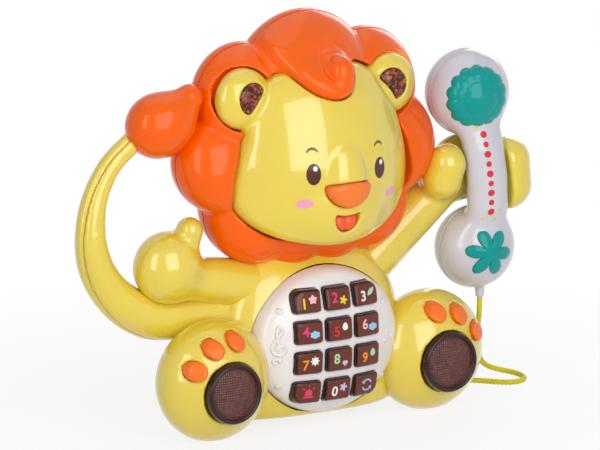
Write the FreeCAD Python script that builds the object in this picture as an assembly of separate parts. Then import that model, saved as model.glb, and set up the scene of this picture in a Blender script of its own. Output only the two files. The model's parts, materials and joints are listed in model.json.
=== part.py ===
import FreeCAD, Part
import math
import os
from FreeCAD import Vector

# A toddler's toy telephone in the shape of a seated lion. It stands on Z = 0
# and faces -Y; left means -X, as seen from the front. All sizes are in mm.

# Walls and clearances
WALL = 2.2
SEAT_GAP = 0.1
SLIDE_GAP = 0.35
MOVING_GAP = 0.6
SPLIT_Y = -3.0
REACH = 400.0

# Torso: height, half width, depth in front of and behind the widest line
TORSO_HEIGHT = 122.0
TORSO_SECTIONS = [
    (0.0, 54.0, 23.0, 17.0),
    (10.0, 61.0, 28.0, 19.5),
    (48.0, 64.0, 31.0, 20.0),
    (76.0, 60.0, 29.0, 20.0),
    (93.0, 51.0, 24.0, 18.0),
    (106.0, 42.0, 15.5, 14.0),
    (TORSO_HEIGHT, 36.0, 12.0, 12.0),
]
TORSO_SQUARENESS = 2.8
SECTION_POINTS = 16

# Belly panel: an oval dome, as depths and how far each is drawn in
PANEL_HALF_WIDTH = 51.0
PANEL_HALF_HEIGHT = 45.0
PANEL_Z = 52.5
PANEL_BACK_Y = -17.4
PANEL_WALL = 2.4
PANEL_STEPS = [
    (PANEL_BACK_Y, 0.0),
    (-25.0, 0.3),
    (-31.0, 2.2),
    (-35.5, 7.0),
    (-38.8, 15.0),
    (-41.0, 26.0),
    (-42.0, 38.0),
]

# Keys: a grid of three by four caps with domed fronts
KEY_NAMES = ["1", "2", "3", "4", "5", "6", "7", "8", "9", "star", "0", "hash"]
KEY_COLUMNS = 3
KEY_WIDTH = 16.4
KEY_HEIGHT = 14.2
KEY_PITCH_X = 20.8
KEY_PITCH_Z = 18.6
KEY_CORNER = 2.0
KEY_OUTER_CORNER = 6.5
KEY_TRAVEL = 2.2
KEY_WALL = 1.6
KEY_DOME_RADIUS = 150.0
KEY_DOME_FRONT_Y = -47.6
KEY_BACK_Y = -29.0
KEY_STEM_RADIUS = 2.6
KEY_STEM_BACK_Y = -21.0

# Key membrane and main board
DOME_GAP = 0.3
DOME_SET = 1.6
MEMBRANE_FRONT_Y = KEY_STEM_BACK_Y + KEY_TRAVEL + DOME_SET
MEMBRANE_THICK = 1.2
MEMBRANE_MARGIN = 3.0
DOME_BASE_RADIUS = 4.2
DOME_TOP_RADIUS = 2.9
BOARD_THICK = 1.6
BOARD_MARGIN = 5.0

# Feet
FOOT_X = 76.5
FOOT_Y = -22.0
FOOT_Z = 36.0
FOOT_RADIUS = 37.0
FOOT_HALF_DEPTH = 27.0
FOOT_RIM = 18.0
FOOT_SPLIT_Y = -14.0
PAD_X = 77.0
PAD_Z = 32.5
PAD_RADIUS = 18.9
PAD_FRONT_Y = -52.0
PAD_RIM_DROP = 2.2
PAD_BACK_Y = -38.0
PAD_WALL = 2.0
TOE_PLACES = [(71.7, 62.6), (88.5, 59.8), (102.0, 47.6)]
TOE_SEMI_ACROSS = 6.9
TOE_SEMI_ALONG = 8.0
TOE_PROUD = 3.2
TOE_TRAVEL = 1.5
FOOT_BOARD_X = 81.0
FOOT_BOARD_Z = 39.5
FOOT_BOARD_HALF = (24.0, 26.0)
FOOT_DOME_RADIUS = 3.2
FOOT_DOME_Y = -33.5
FOOT_DOME_SET = 2.4
FOOT_BOARD_THICK = 1.6
FOOT_BOARD_Y = FOOT_DOME_Y + TOE_TRAVEL + FOOT_DOME_SET + FOOT_BOARD_THICK
FOOT_POST_RADIUS = 2.8
FOOT_POSTS = [(101.5, 27.0), (62.5, 53.5)]

# Left arm: a tapered tube that ends in a fist with a thumb
ARM_LEFT_START = (-38.0, -4.0, 87.0)
ARM_LEFT_END = (-92.0, -7.0, 98.0)
ARM_LEFT_RADII = (13.0, 13.0)
FIST = ((-99.0, -8.0, 105.0), 22.0, 18.0, 14.0)
FIST_THUMB = ((-86.0, -12.0, 126.5), 8.2, 8.0, 7.0)

# Right arm: a tapered tube that ends in an open paw round the handset
ARM_RIGHT_START = (36.0, -2.0, 82.0)
ARM_RIGHT_END = (102.0, -2.0, 134.0)
ARM_RIGHT_RADII = (15.0, 13.5)
PALM = ((114.0, -1.0, 139.9), 20.6, 12.0, 7.0)
THUMB = ((91.5, -20.0, 143.5), 13.0, 17.0)
FINGERS = ((136.0, -20.0, 137.0), 15.5, 21.5)

# Tail: centres (X, Z) and radii of a tube that bows out to the left
TAIL_Y = 1.0
TAIL_STATIONS = [
    (-50.0, 72.0, 14.0),
    (-96.6, 72.5, 14.0),
    (-117.0, 79.0, 13.4),
    (-132.3, 91.0, 12.2),
    (-144.2, 108.4, 10.8),
    (-148.4, 128.2, 9.5),
    (-146.7, 148.3, 8.2),
    (-138.1, 167.0, 7.2),
    (-113.0, 187.0, 7.0),
]
TAIL_TIP = ((-101.5, -4.0, 194.5), 21.5, 17.0, 13.0)
TAIL_POINT = ((-85.0, -8.0, 205.5), 10.0, 9.0, 7.5)

# Mane: the valleys between its lobes on the right side, each with the height
# of the lobe that leads to it, and the bottom valley in the middle
MANE_CENTRE_Z = 172.0
MANE_HALF_WIDTH = 91.0
MANE_TOP_RISE = 16.6
MANE_LOBES = [
    (36.0, 234.0, None),
    (75.0, 192.5, 17.0),
    (71.5, 136.5, 17.7),
    (29.5, 103.0, 13.0),
    (0.0, 101.0, 4.0),
]
MANE_STEPS = [
    (16.0, 18.0),
    (12.0, 9.0),
    (5.0, 2.0),
    (-2.0, 0.0),
    (-10.0, 1.5),
    (-17.0, 6.0),
    (-22.5, 13.0),
    (-25.5, 22.0),
]
MANE_LEAN = 0.3

# Face: right half of its outline, and the ball it is cut from
FACE_BALL = ((0.0, 25.0, 155.0), 78.0, 92.0)
FACE_FRONT_Y = -53.0
FACE_BACK_Y = -20.0
FACE_MID_Z = 160.0
FACE_HALF_WIDTH = 63.5
FACE_OUTLINE = [
    (0.0, 112.0),
    (23.0, 113.5),
    (40.0, 119.0),
    (55.0, 130.0),
    (63.0, 145.0),
    (60.5, 163.0),
    (55.0, 180.0),
    (51.0, 196.0),
    (40.0, 211.0),
    (23.0, 219.5),
]
FACE_TOP_Z = 222.0
EAR_CENTRE = (53.0, -18.0, 206.0)
EAR_RADIUS = 19.5
EAR_HALF_DEPTH = 11.5
EAR_RIM = 6.5
EAR_BACK_Y = -14.0
EAR_LENS_PLACE = (51.0, 207.5)
EAR_LENS_RADIUS = 9.8
EAR_LENS_THICK = 3.0
HEAD_ARC_Z = 165.0
HEAD_ARC_RADIUS = 61.2
EAR_BOARD_Y = -17.0
EAR_BOARD_THICK = 1.2
LED_RADIUS = 2.5
LED_LENGTH = 5.5
NOSE_HALF_WIDTH = 15.0
NOSE_TOP_Z = 153.3
NOSE_BOTTOM_Z = 139.0
NOSE_PROUD = 3.6
BRIDGE = ((0.0, -43.0, 155.0), 14.0, 22.5)
MOUTH_HALF_WIDTH = 8.5
MOUTH_TOP_Z = 134.0
MOUTH_BOTTOM_Z = 123.0
HALF_ROUND_CROWN = 0.125
HALF_ROUND_CHEEK = 0.8
FORELOCK_PROUD = 5.0
FORELOCK_HALF_WIDTH = 18.0
FORELOCK_OUTLINE = [
    (-27.0, 223.0),
    (-17.5, 209.5),
    (-2.0, 201.5),
    (9.0, 203.5),
    (15.5, 210.5),
    (18.0, 221.0),
    (16.0, 231.0),
    (-14.0, 231.0),
]

# Speaker behind a grille in the back of the head
SPEAKER_Z = 166.0
SPEAKER_RADIUS = 25.0
SPEAKER_RIM = 2.0
SPEAKER_CONE_RADIUS = 22.0
SPEAKER_NECK_RADIUS = 12.0
SPEAKER_CONE_DEPTH = 8.0
SPEAKER_MAGNET_DEPTH = 7.0
GRILLE_HOLE_RADIUS = 1.5
GRILLE_RING_STEP = 5.2
GRILLE_RINGS = 3

# Battery box, door and switch in the back
CELL_RADIUS = 7.1
CELL_LENGTH = 50.5
CELL_PITCH = 15.0
CELL_COUNT = 3
CELL_Y = 8.4
BOX_Z = 46.0
BOX_WALL = 1.5
BOX_PLAY = 0.4
DOOR_LAP = 3.5
DOOR_THICK = 2.0
DOOR_SCREW_RADIUS = 1.4
DOOR_SCREW_HEAD = 2.8
DOOR_SCREW_LENGTH = 7.0
DOOR_TAB = 11.0
SWITCH_Z = 93.0
SWITCH_HALF = (4.0, 2.2)
SWITCH_TRAVEL = 3.0
SWITCH_PROUD = 2.0
SWITCH_FLANGE = 2.2
SWITCH_FLANGE_THICK = 1.6

# Screws that draw the back shells to the front ones
SCREW_RADIUS = 1.3
SCREW_HEAD_RADIUS = 2.6
SCREW_HEAD_THICK = 2.0
SCREW_REACH = 6.0
BOSS_RADIUS = 3.8
BOSS_FLOOR = 3.0
TORSO_SCREWS = [(-50.0, 18.0), (50.0, 18.0), (-46.0, 78.0), (46.0, 78.0)]
MANE_SCREWS = [(-73.0, 164.0), (73.0, 164.0), (0.0, 240.0)]
TAIL_SCREWS = [(-140.0, 100.0)]
ARM_LEFT_SCREWS = [(-99.0, 104.0)]
ARM_RIGHT_SCREWS = [(84.0, 120.0)]

# Handset
CUP_SPLIT_Y = -12.0
EARPIECE = ((112.2, CUP_SPLIT_Y, 188.7), 26.6, 24.5, 20.0)
MOUTHPIECE = ((118.0, CUP_SPLIT_Y, 92.6), 25.5, 22.5, 18.0)
HANDLE_HALF_WIDTH = 12.5
HANDLE_HALF_DEPTH = 9.5
HANDLE_STATIONS = [
    (112.0, -20.0, 176.0),
    (115.0, -25.6, 157.0),
    (117.0, -27.0, 138.0),
    (118.4, -25.6, 120.0),
    (118.6, -20.0, 104.0),
]
HANDSET_WALL = 2.0
ROSETTE_RADIUS = 19.6
ROSETTE_SCALLOPS = 14
ROSETTE_SCALLOP_RISE = 1.8
FLOWER_PETALS = 6
FLOWER_REACH = 11.2
FLOWER_PETAL_RADIUS = 3.8
RELIEF_PROUD = 1.8
ROSETTE_TURN = -20.0
FLOWER_TURN = -12.0
SOUND_HOLE_RADIUS = 1.5
SOUND_HOLE_RING = 8.0
SOUND_HOLES = 6

# Cord
CORD_RADIUS = 1.7
CORD_BEND_SHARE = 0.45
GLAND_RADIUS = 3.2
GLAND_TOP_Z = 76.0
GLAND_END_Z = 61.0
GLAND_PLACE = (119.5, -15.6)
GROMMET_PLACE = (92.0, 14.0)
GROMMET_RADIUS = 3.6
GROMMET_BACK_Y = -10.0
GROMMET_END_Y = 3.0
GROMMET_HOLE_LEAD = 10.0
CORD_ROUTE = [
    (GROMMET_PLACE[0], GROMMET_END_Y, GROMMET_PLACE[1]),
    (GROMMET_PLACE[0], 10.5, GROMMET_PLACE[1]),
    (95.0, 18.0, 10.4),
    (100.5, 22.8, 6.4),
    (109.0, 24.6, 3.6),
    (119.0, 23.2, 2.2),
    (128.5, 19.5, 1.8),
    (137.0, 12.0, 1.7),
    (143.5, 3.0, 1.8),
    (151.5, -4.0, 1.7),
    (161.0, -2.5, 1.8),
    (167.0, 6.0, 1.7),
    (167.0, 17.0, 2.0),
    (159.5, 25.0, 3.4),
    (149.0, 24.0, 8.0),
    (140.0, 16.5, 17.0),
    (131.5, 7.0, 28.0),
    (124.5, -5.5, 39.5),
    (GLAND_PLACE[0], GLAND_PLACE[1], 50.0),
    (GLAND_PLACE[0], GLAND_PLACE[1], GLAND_END_Z - SLIDE_GAP),
]


def round_body(edges, centre, along):
    """A solid turned about an axis from an open profile that ends on it."""
    ends = Part.LineSegment(edges[-1].lastVertex().Point, edges[0].firstVertex().Point)
    return Part.Face(Part.Wire(edges + [ends.toShape()])).revolve(centre, along, 360)


def bun_rise(radius, half_depth, rim):
    """How far behind a bun's middle its front cap has its centre."""
    return ((radius - rim) ** 2 - (half_depth - rim) ** 2) / (2 * (half_depth - rim))


def bun(ball, extra=0.0):
    """A flattened ball about a Y axis: two shallow caps and a round rim."""
    centre, radius, half_depth, rim = ball
    rise = bun_rise(radius, half_depth, rim)
    cap_radius = half_depth + rise + extra
    turn = math.atan2(radius - rim, rise)
    rim_radius = rim + extra
    middle = Vector(*centre)

    def place(across, along):
        return middle + Vector(0, along, across)

    def cap_place(angle, side):
        return place(cap_radius * math.sin(angle), side * (cap_radius * math.cos(angle) - rise))

    joint = (radius - rim + rim_radius * math.sin(turn), rim_radius * math.cos(turn))
    front = Part.Arc(cap_place(0.0, -1), cap_place(turn / 2, -1), place(joint[0], -joint[1]))
    edge = Part.Arc(place(joint[0], -joint[1]), place(radius + extra, 0.0), place(*joint))
    back = Part.Arc(place(*joint), cap_place(turn / 2, 1), cap_place(0.0, 1))
    return round_body([arc.toShape() for arc in (front, edge, back)], middle, Vector(0, 1, 0))


def cap_ball(ball, extra):
    """The whole ball that a bun's front cap is a part of."""
    centre, radius, half_depth, rim = ball
    rise = bun_rise(radius, half_depth, rim)
    return Part.makeSphere(half_depth + rise + extra, Vector(*centre) + Vector(0, rise, 0))


def capsule(pill, extra=0.0):
    """An upright rod with round ends."""
    centre, radius, half_length = pill
    middle = Vector(*centre)
    size = radius + extra
    reach = half_length - radius
    lean = size * math.sqrt(0.5)

    def place(across, up):
        return middle + Vector(across, 0, up)

    low = Part.Arc(place(0, -reach - size), place(lean, -reach - lean), place(size, -reach))
    side = Part.LineSegment(place(size, -reach), place(size, reach))
    high = Part.Arc(place(size, reach), place(lean, reach + lean), place(0, reach + size))
    return round_body([edge.toShape() for edge in (low, side, high)], middle, Vector(0, 0, 1))


def long_ball(ball, extra=0.0):
    """A ball stretched along Z."""
    centre, radius, half_height = ball
    middle = Vector(*centre)
    tip = middle + Vector(0, 0, half_height + extra)
    side = middle + Vector(0, radius + extra, 0)
    arc = Part.ArcOfEllipse(Part.Ellipse(tip, side, middle), 0, math.pi)
    return round_body([arc.toShape()], middle, Vector(0, 0, 1))


def between_y(low, high):
    """Everything between two planes square to Y."""
    return Part.makeBox(2 * REACH, high - low, 2 * REACH, Vector(-REACH, low, -REACH))


def above_floor():
    """Everything over the surface that the toy stands on."""
    return Part.makeBox(2 * REACH, 2 * REACH, REACH, Vector(-REACH, -REACH, 0))


def pin_y(x, z, radius, low, high):
    """A round pin along Y."""
    return Part.makeCylinder(radius, high - low, Vector(x, low, z), Vector(0, 1, 0))


def box_y(x_half, z_half, z_mid, low, high):
    """A block centred on X = 0, between two depths."""
    corner = Vector(-x_half, low, z_mid - z_half)
    return Part.makeBox(2 * x_half, high - low, 2 * z_half, corner)


def closed_spline(points):
    """A smooth closed wire through the points."""
    curve = Part.BSplineCurve()
    curve.interpolate(points, PeriodicFlag=True)
    return Part.Wire([curve.toShape()])


def prism_y(wire, low, high):
    """A wire drawn at Y = 0, made solid between two depths."""
    face = Part.Face(wire)
    face.translate(Vector(0, low, 0))
    return face.extrude(Vector(0, high - low, 0))


def ellipse_wire_y(x, y, z, semi_x, semi_z, turn=0.0):
    """An upright ellipse facing -Y, turned about its centre."""
    long_side, short_side = max(semi_x, semi_z), min(semi_x, semi_z)
    if semi_z > semi_x:
        turn += math.pi / 2
    main = Vector(x + long_side * math.cos(turn), y, z + long_side * math.sin(turn))
    side = Vector(x - short_side * math.sin(turn), y, z + short_side * math.cos(turn))
    return Part.Wire([Part.Ellipse(main, side, Vector(x, y, z)).toShape()])


def mirrored(shape):
    """The same shape on the other side of the middle plane."""
    return shape.mirror(Vector(0, 0, 0), Vector(1, 0, 0))


def torso_solid(extra=0.0):
    """The torso, grown by extra on every side."""
    wires = []
    for height, half, front, back in TORSO_SECTIONS:
        z = -extra + height * (TORSO_HEIGHT + 2 * extra) / TORSO_HEIGHT
        points = []
        for step in range(SECTION_POINTS):
            turn = 2 * math.pi * step / SECTION_POINTS
            power = 2 / TORSO_SQUARENESS
            across = math.copysign(abs(math.cos(turn)) ** power, math.cos(turn))
            deep = math.copysign(abs(math.sin(turn)) ** power, math.sin(turn))
            depth = back if deep > 0 else front
            points.append(Vector((half + extra) * across, (depth + extra) * deep, z))
        wires.append(closed_spline(points))
    return Part.makeLoft(wires, True, False, False)


def panel_solid(extra=0.0, back=0.0):
    """The belly panel's oval dome, grown by extra, its rear moved by back."""
    wires = []
    for y, drawn_in in PANEL_STEPS:
        depth = y - extra + (back if y == PANEL_BACK_Y else 0.0)
        wires.append(
            ellipse_wire_y(
                0.0,
                depth,
                PANEL_Z,
                PANEL_HALF_WIDTH - drawn_in + extra,
                PANEL_HALF_HEIGHT - drawn_in + extra,
            )
        )
    return Part.makeLoft(wires, True, False, False)


def foot_solid(side, extra=0.0):
    """One foot, left (-1) or right (1)."""
    centre = (side * FOOT_X, FOOT_Y, FOOT_Z)
    return bun((centre, FOOT_RADIUS, FOOT_HALF_DEPTH, FOOT_RIM), extra)


def tapered_tube(start, end, radii, extra=0.0):
    """A round tube between two points."""
    first, last = Vector(*start), Vector(*end)
    run = last - first
    if radii[0] == radii[1]:
        return Part.makeCylinder(radii[0] + extra, run.Length, first, run)
    return Part.makeCone(radii[0] + extra, radii[1] + extra, run.Length, first, run)


def arm_left_solid(extra=0.0):
    """Left arm with its fist, and the thumb unless it is being hollowed."""
    parts = [bun(FIST, extra)]
    if extra >= 0:
        parts.append(bun(FIST_THUMB, extra))
    arm = tapered_tube(ARM_LEFT_START, ARM_LEFT_END, ARM_LEFT_RADII, extra)
    return arm.fuse(parts)


def arm_right_solid(extra=0.0):
    """Right arm and palm, with thumb and fingers unless it is being hollowed."""
    parts = [bun(PALM, extra)]
    if extra >= 0:
        parts += [capsule(THUMB, extra), capsule(FINGERS, extra)]
    arm = tapered_tube(ARM_RIGHT_START, ARM_RIGHT_END, ARM_RIGHT_RADII, extra)
    return arm.fuse(parts)


def ring_wire(centre, out, radius):
    """A circle about the tail's line, from two half circles that start at the back."""
    back = Vector(0, radius, 0)
    side = out * radius
    first = Part.Arc(centre + back, centre + side, centre - back).toShape()
    second = Part.Arc(centre - back, centre - side, centre + back).toShape()
    return Part.Wire([first, second])


def tail_solid(extra=0.0):
    """The tail tube, grown by extra."""
    centres = [Vector(x, TAIL_Y, z) for x, z, radius in TAIL_STATIONS]
    wires = []
    for index, (x, z, radius) in enumerate(TAIL_STATIONS):
        before = centres[max(index - 1, 0)]
        after = centres[min(index + 1, len(centres) - 1)]
        along = (after - before).normalize()
        out = Vector(-along.z, 0, along.x)
        wires.append(ring_wire(centres[index], out, radius + extra))
    return Part.makeLoft(wires, True, False, False)


def mane_wire(y, drawn_in):
    """The lobed outline of the mane at one depth."""
    share = 1 - drawn_in / MANE_HALF_WIDTH
    lean = MANE_LEAN * min(y, 0.0)

    def place(x, z):
        return Vector(x * share, y, MANE_CENTRE_Z + (z - MANE_CENTRE_Z) * share + lean)

    def lobe(start, end, rise):
        mid_x, mid_z = (start[0] + end[0]) / 2, (start[1] + end[1]) / 2
        run_x, run_z = end[0] - start[0], end[1] - start[1]
        length = math.hypot(run_x, run_z)
        crest = (mid_x - rise * run_z / length, mid_z + rise * run_x / length)
        return Part.Arc(place(*start), place(*crest), place(*end)).toShape()

    right = [(x, z) for x, z, rise in MANE_LOBES]
    rises = [rise for x, z, rise in MANE_LOBES]
    top_left = (-right[0][0], right[0][1])
    edges = [lobe(top_left, right[0], MANE_TOP_RISE)]
    for index in range(1, len(right)):
        edges.append(lobe(right[index - 1], right[index], rises[index]))
    for index in range(len(right) - 1, 0, -1):
        start = (-right[index][0], right[index][1])
        end = (-right[index - 1][0], right[index - 1][1])
        edges.append(lobe(start, end, rises[index]))
    return Part.Wire(edges)


def mane_solid(extra=0.0):
    """The whole mane, front and back, grown by extra."""
    front, back = MANE_STEPS[-1][0], MANE_STEPS[0][0]
    middle = (front + back) / 2
    share = (back - front + 2 * extra) / (back - front)
    wires = [mane_wire(middle + (y - middle) * share, drawn_in - extra) for y, drawn_in in MANE_STEPS]
    return Part.makeLoft(wires, True, False, False)


def face_wire(extra=0.0):
    """The outline of the face, grown by extra about its middle."""
    share = 1 + extra / FACE_HALF_WIDTH
    left = [(-x, z) for x, z in reversed(FACE_OUTLINE[1:])]
    points = FACE_OUTLINE + [(0.0, FACE_TOP_Z)] + left
    return closed_spline([Vector(x * share, 0, FACE_MID_Z + (z - FACE_MID_Z) * share) for x, z in points])


def face_ball(extra=0.0):
    """The ball that rounds the front of the face."""
    return long_ball(FACE_BALL, extra)


def ear_solid(side, extra=0.0):
    """One ear."""
    centre = (side * EAR_CENTRE[0], EAR_CENTRE[1], EAR_CENTRE[2])
    return bun((centre, EAR_RADIUS, EAR_HALF_DEPTH, EAR_RIM), extra)


def forelock_solid(extra=0.0):
    """The curl of mane that hangs over the forehead."""
    middle_x = sum(x for x, z in FORELOCK_OUTLINE) / len(FORELOCK_OUTLINE)
    middle_z = sum(z for x, z in FORELOCK_OUTLINE) / len(FORELOCK_OUTLINE)
    share = 1 + extra / FORELOCK_HALF_WIDTH
    points = []
    for x, z in FORELOCK_OUTLINE:
        points.append(Vector(middle_x + (x - middle_x) * share, 0, middle_z + (z - middle_z) * share))
    wire = closed_spline(points)
    curl = prism_y(wire, FACE_FRONT_Y - FORELOCK_PROUD, MANE_STEPS[-1][0] + WALL)
    skin = face_ball(FORELOCK_PROUD + extra).cut(face_ball(-WALL - extra))
    return curl.common(skin)


def half_round_wire(half_width, top, bottom, extra=0.0):
    """A nearly flat top with a round bottom, as for the nose and the mouth."""
    left = Vector(-half_width - extra, 0, top)
    right = Vector(half_width + extra, 0, top)
    crown = Vector(0, 0, top + half_width * HALF_ROUND_CROWN + extra)
    chin = Vector(0, 0, bottom - extra)
    lower_right = Vector((half_width + extra) * HALF_ROUND_CHEEK, 0, (top + bottom) / 2 - extra / 2)
    lower_left = Vector(-lower_right.x, 0, lower_right.z)
    upper = Part.Arc(left, crown, right).toShape()
    lower = Part.BSplineCurve()
    lower.interpolate([right, lower_right, chin, lower_left, left])
    return Part.Wire([upper, lower.toShape()])


def split_shell(outer, inner, cut_away=()):
    """Front and back halves of a hollow shell."""
    shell = outer.cut([inner] + list(cut_away))
    front = shell.common(between_y(-REACH, SPLIT_Y))
    back = shell.common(between_y(SPLIT_Y, REACH))
    return front, back


def add_screws(front, back, outer, sites, taken):
    """Bosses in both halves, with the screws that join them."""
    screws = []
    for x, z in sites:
        column = pin_y(x, z, BOSS_RADIUS, -REACH, REACH).common(outer).cut(list(taken))
        front = front.fuse(column.common(between_y(-REACH, SPLIT_Y)))
        front = front.cut(pin_y(x, z, SCREW_RADIUS, SPLIT_Y - SCREW_REACH, SPLIT_Y))
        back = back.fuse(column.common(between_y(SPLIT_Y, REACH)))
        seat = SPLIT_Y + BOSS_FLOOR
        back = back.cut(pin_y(x, z, SCREW_RADIUS + SEAT_GAP, SPLIT_Y, seat))
        back = back.cut(pin_y(x, z, SCREW_HEAD_RADIUS + MOVING_GAP, seat, REACH))
        head = pin_y(x, z, SCREW_HEAD_RADIUS, seat, seat + SCREW_HEAD_THICK)
        slot = Part.makeBox(2 * SCREW_HEAD_RADIUS, SCREW_HEAD_THICK / 2, SCREW_HEAD_THICK / 3)
        slot.translate(
            Vector(x - SCREW_HEAD_RADIUS, seat + SCREW_HEAD_THICK / 2, z - SCREW_HEAD_THICK / 6)
        )
        shank = pin_y(x, z, SCREW_RADIUS, SPLIT_Y - SCREW_REACH, seat)
        screws.append(head.cut(slot).fuse(shank))
    return front, back, screws


def key_place(index):
    """Centre of one key, seen from the front."""
    row, column = divmod(index, KEY_COLUMNS)
    rows = len(KEY_NAMES) // KEY_COLUMNS
    x = (column - (KEY_COLUMNS - 1) / 2) * KEY_PITCH_X
    z = PANEL_Z + ((rows - 1) / 2 - row) * KEY_PITCH_Z
    return x, z


def key_wire(index, extra=0.0):
    """Outline of one key; the four outer corners of the pad are rounder."""
    x, z = key_place(index)
    row, column = divmod(index, KEY_COLUMNS)
    rows = len(KEY_NAMES) // KEY_COLUMNS
    half_x, half_z = KEY_WIDTH / 2 + extra, KEY_HEIGHT / 2 + extra
    edges = []
    last = None
    first = None
    for side_x, side_z in [(1, 1), (-1, 1), (-1, -1), (1, -1)]:
        outer_column = column == (KEY_COLUMNS - 1 if side_x > 0 else 0)
        outer_row = row == (0 if side_z > 0 else rows - 1)
        radius = KEY_OUTER_CORNER if outer_column and outer_row else KEY_CORNER
        radius = max(radius + extra, KEY_CORNER / 4)
        centre = Vector(x + side_x * (half_x - radius), 0, z + side_z * (half_z - radius))
        along_x = centre + Vector(side_x * radius, 0, 0)
        along_z = centre + Vector(0, 0, side_z * radius)
        slant = centre + Vector(side_x * radius, 0, side_z * radius) * math.sqrt(0.5)
        begin, end = (along_x, along_z) if side_x * side_z > 0 else (along_z, along_x)
        if last is not None:
            edges.append(Part.LineSegment(last, begin).toShape())
        else:
            first = begin
        edges.append(Part.Arc(begin, slant, end).toShape())
        last = end
    edges.append(Part.LineSegment(last, first).toShape())
    return Part.Wire(edges)


def key_dome(drop=0.0):
    """The ball that rounds the fronts of the keys."""
    centre = Vector(0, KEY_DOME_FRONT_Y + KEY_DOME_RADIUS, PANEL_Z)
    return Part.makeSphere(KEY_DOME_RADIUS - drop, centre)


def key_cap(index):
    """One key: a hollow cap with a stem that meets the membrane."""
    x, z = key_place(index)
    front = KEY_DOME_FRONT_Y - KEY_WALL
    cap = prism_y(key_wire(index), front, KEY_BACK_Y).common(key_dome())
    hollow = prism_y(key_wire(index, -KEY_WALL), front, KEY_BACK_Y).common(key_dome(KEY_WALL))
    stem = pin_y(x, z, KEY_STEM_RADIUS, front, KEY_STEM_BACK_Y).common(key_dome(KEY_WALL / 2))
    return cap.cut(hollow).fuse(stem)


def rubber_dome(x, z, base_y, top_y, base_radius, top_radius):
    """A blunt cone that springs a key back, pointing to the front."""
    return Part.makeCone(base_radius, top_radius, base_y - top_y, Vector(x, base_y, z), Vector(0, -1, 0))


def key_field(margin, front, back):
    """A plate as large as the key grid and a margin."""
    rows = len(KEY_NAMES) // KEY_COLUMNS
    half_x = ((KEY_COLUMNS - 1) * KEY_PITCH_X + KEY_WIDTH) / 2 + margin
    half_z = ((rows - 1) * KEY_PITCH_Z + KEY_HEIGHT) / 2 + margin
    plate = box_y(half_x, half_z, PANEL_Z, front, back)
    upright = [edge for edge in plate.Edges if edge.BoundBox.YLength > (back - front) / 2]
    return plate.makeFillet(KEY_OUTER_CORNER + margin, upright)


def toe_wire(x, z, extra=0.0):
    """A toe's oval outline, its long axis pointing away from the pad."""
    turn = math.atan2(z - PAD_Z, x - PAD_X)
    return ellipse_wire_y(x, 0.0, z, TOE_SEMI_ALONG + extra, TOE_SEMI_ACROSS + extra, turn)


def foot_front_y(x, z):
    """Depth of the right foot's front skin at a place."""
    off = math.hypot(x - FOOT_X, z - FOOT_Z)
    rise = bun_rise(FOOT_RADIUS, FOOT_HALF_DEPTH, FOOT_RIM)
    return FOOT_Y + rise - math.sqrt((FOOT_HALF_DEPTH + rise) ** 2 - off**2)


def toe_cap(x, z):
    """One toe button on the right foot."""
    front = foot_front_y(x, z) - TOE_PROUD
    cap = prism_y(toe_wire(x, z), front, FOOT_DOME_Y)
    rim = [edge for edge in cap.Edges if edge.BoundBox.YMax < front + TOE_PROUD / 4]
    return cap.makeFillet(TOE_PROUD / 2, rim)


def pad_cap():
    """The round paw pad on the right foot, hollow behind, with a stem."""
    dome_radius = (PAD_RADIUS**2 + PAD_RIM_DROP**2) / (2 * PAD_RIM_DROP)
    ball = Part.makeSphere(dome_radius, Vector(PAD_X, PAD_FRONT_Y + dome_radius, PAD_Z))
    inner_ball = Part.makeSphere(dome_radius - PAD_WALL, Vector(PAD_X, PAD_FRONT_Y + dome_radius, PAD_Z))
    cap = pin_y(PAD_X, PAD_Z, PAD_RADIUS, PAD_FRONT_Y, PAD_BACK_Y).common(ball)
    hollow = pin_y(PAD_X, PAD_Z, PAD_RADIUS - PAD_WALL, PAD_FRONT_Y, PAD_BACK_Y).common(inner_ball)
    stem = pin_y(PAD_X, PAD_Z, FOOT_DOME_RADIUS, PAD_FRONT_Y + PAD_WALL / 2, FOOT_DOME_Y)
    return cap.cut(hollow).fuse(stem)


def foot_board():
    """The right foot's rubber-topped switch board."""
    back = FOOT_BOARD_Y
    front = back - FOOT_BOARD_THICK
    wire = ellipse_wire_y(FOOT_BOARD_X, 0.0, FOOT_BOARD_Z, *FOOT_BOARD_HALF)
    board = prism_y(wire, front, back)
    dome_top = FOOT_DOME_Y + DOME_GAP
    for x, z in TOE_PLACES + [(PAD_X, PAD_Z)]:
        board = board.fuse(rubber_dome(x, z, front, dome_top, FOOT_DOME_RADIUS, FOOT_DOME_RADIUS / 1.4))
    return board


def foot_pieces():
    """Right foot, not yet cut to the torso: front, back, pad, toes and board."""
    outer = foot_solid(1).common(above_floor())
    floor_raised = Part.makeBox(2 * REACH, 2 * REACH, REACH, Vector(-REACH, -REACH, WALL))
    inner = foot_solid(1, -WALL).common(floor_raised)
    shell = outer.cut([inner])
    front = shell.common(between_y(-REACH, FOOT_SPLIT_Y))
    for x, z in FOOT_POSTS:
        post = pin_y(x, z, FOOT_POST_RADIUS, -REACH, FOOT_BOARD_Y - FOOT_BOARD_THICK - SEAT_GAP)
        front = front.fuse(post.common(outer))
    front = front.cut(pin_y(PAD_X, PAD_Z, PAD_RADIUS + SLIDE_GAP, -REACH, PAD_BACK_Y + TOE_TRAVEL))
    toe_floor = FOOT_DOME_Y + TOE_TRAVEL + MOVING_GAP
    for x, z in TOE_PLACES:
        front = front.cut(prism_y(toe_wire(x, z, SLIDE_GAP), -REACH / 2, toe_floor))
    back = shell.common(between_y(FOOT_SPLIT_Y, REACH))
    toes = [toe_cap(x, z) for x, z in TOE_PLACES]
    return front, back, pad_cap(), toes, foot_board()


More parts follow.
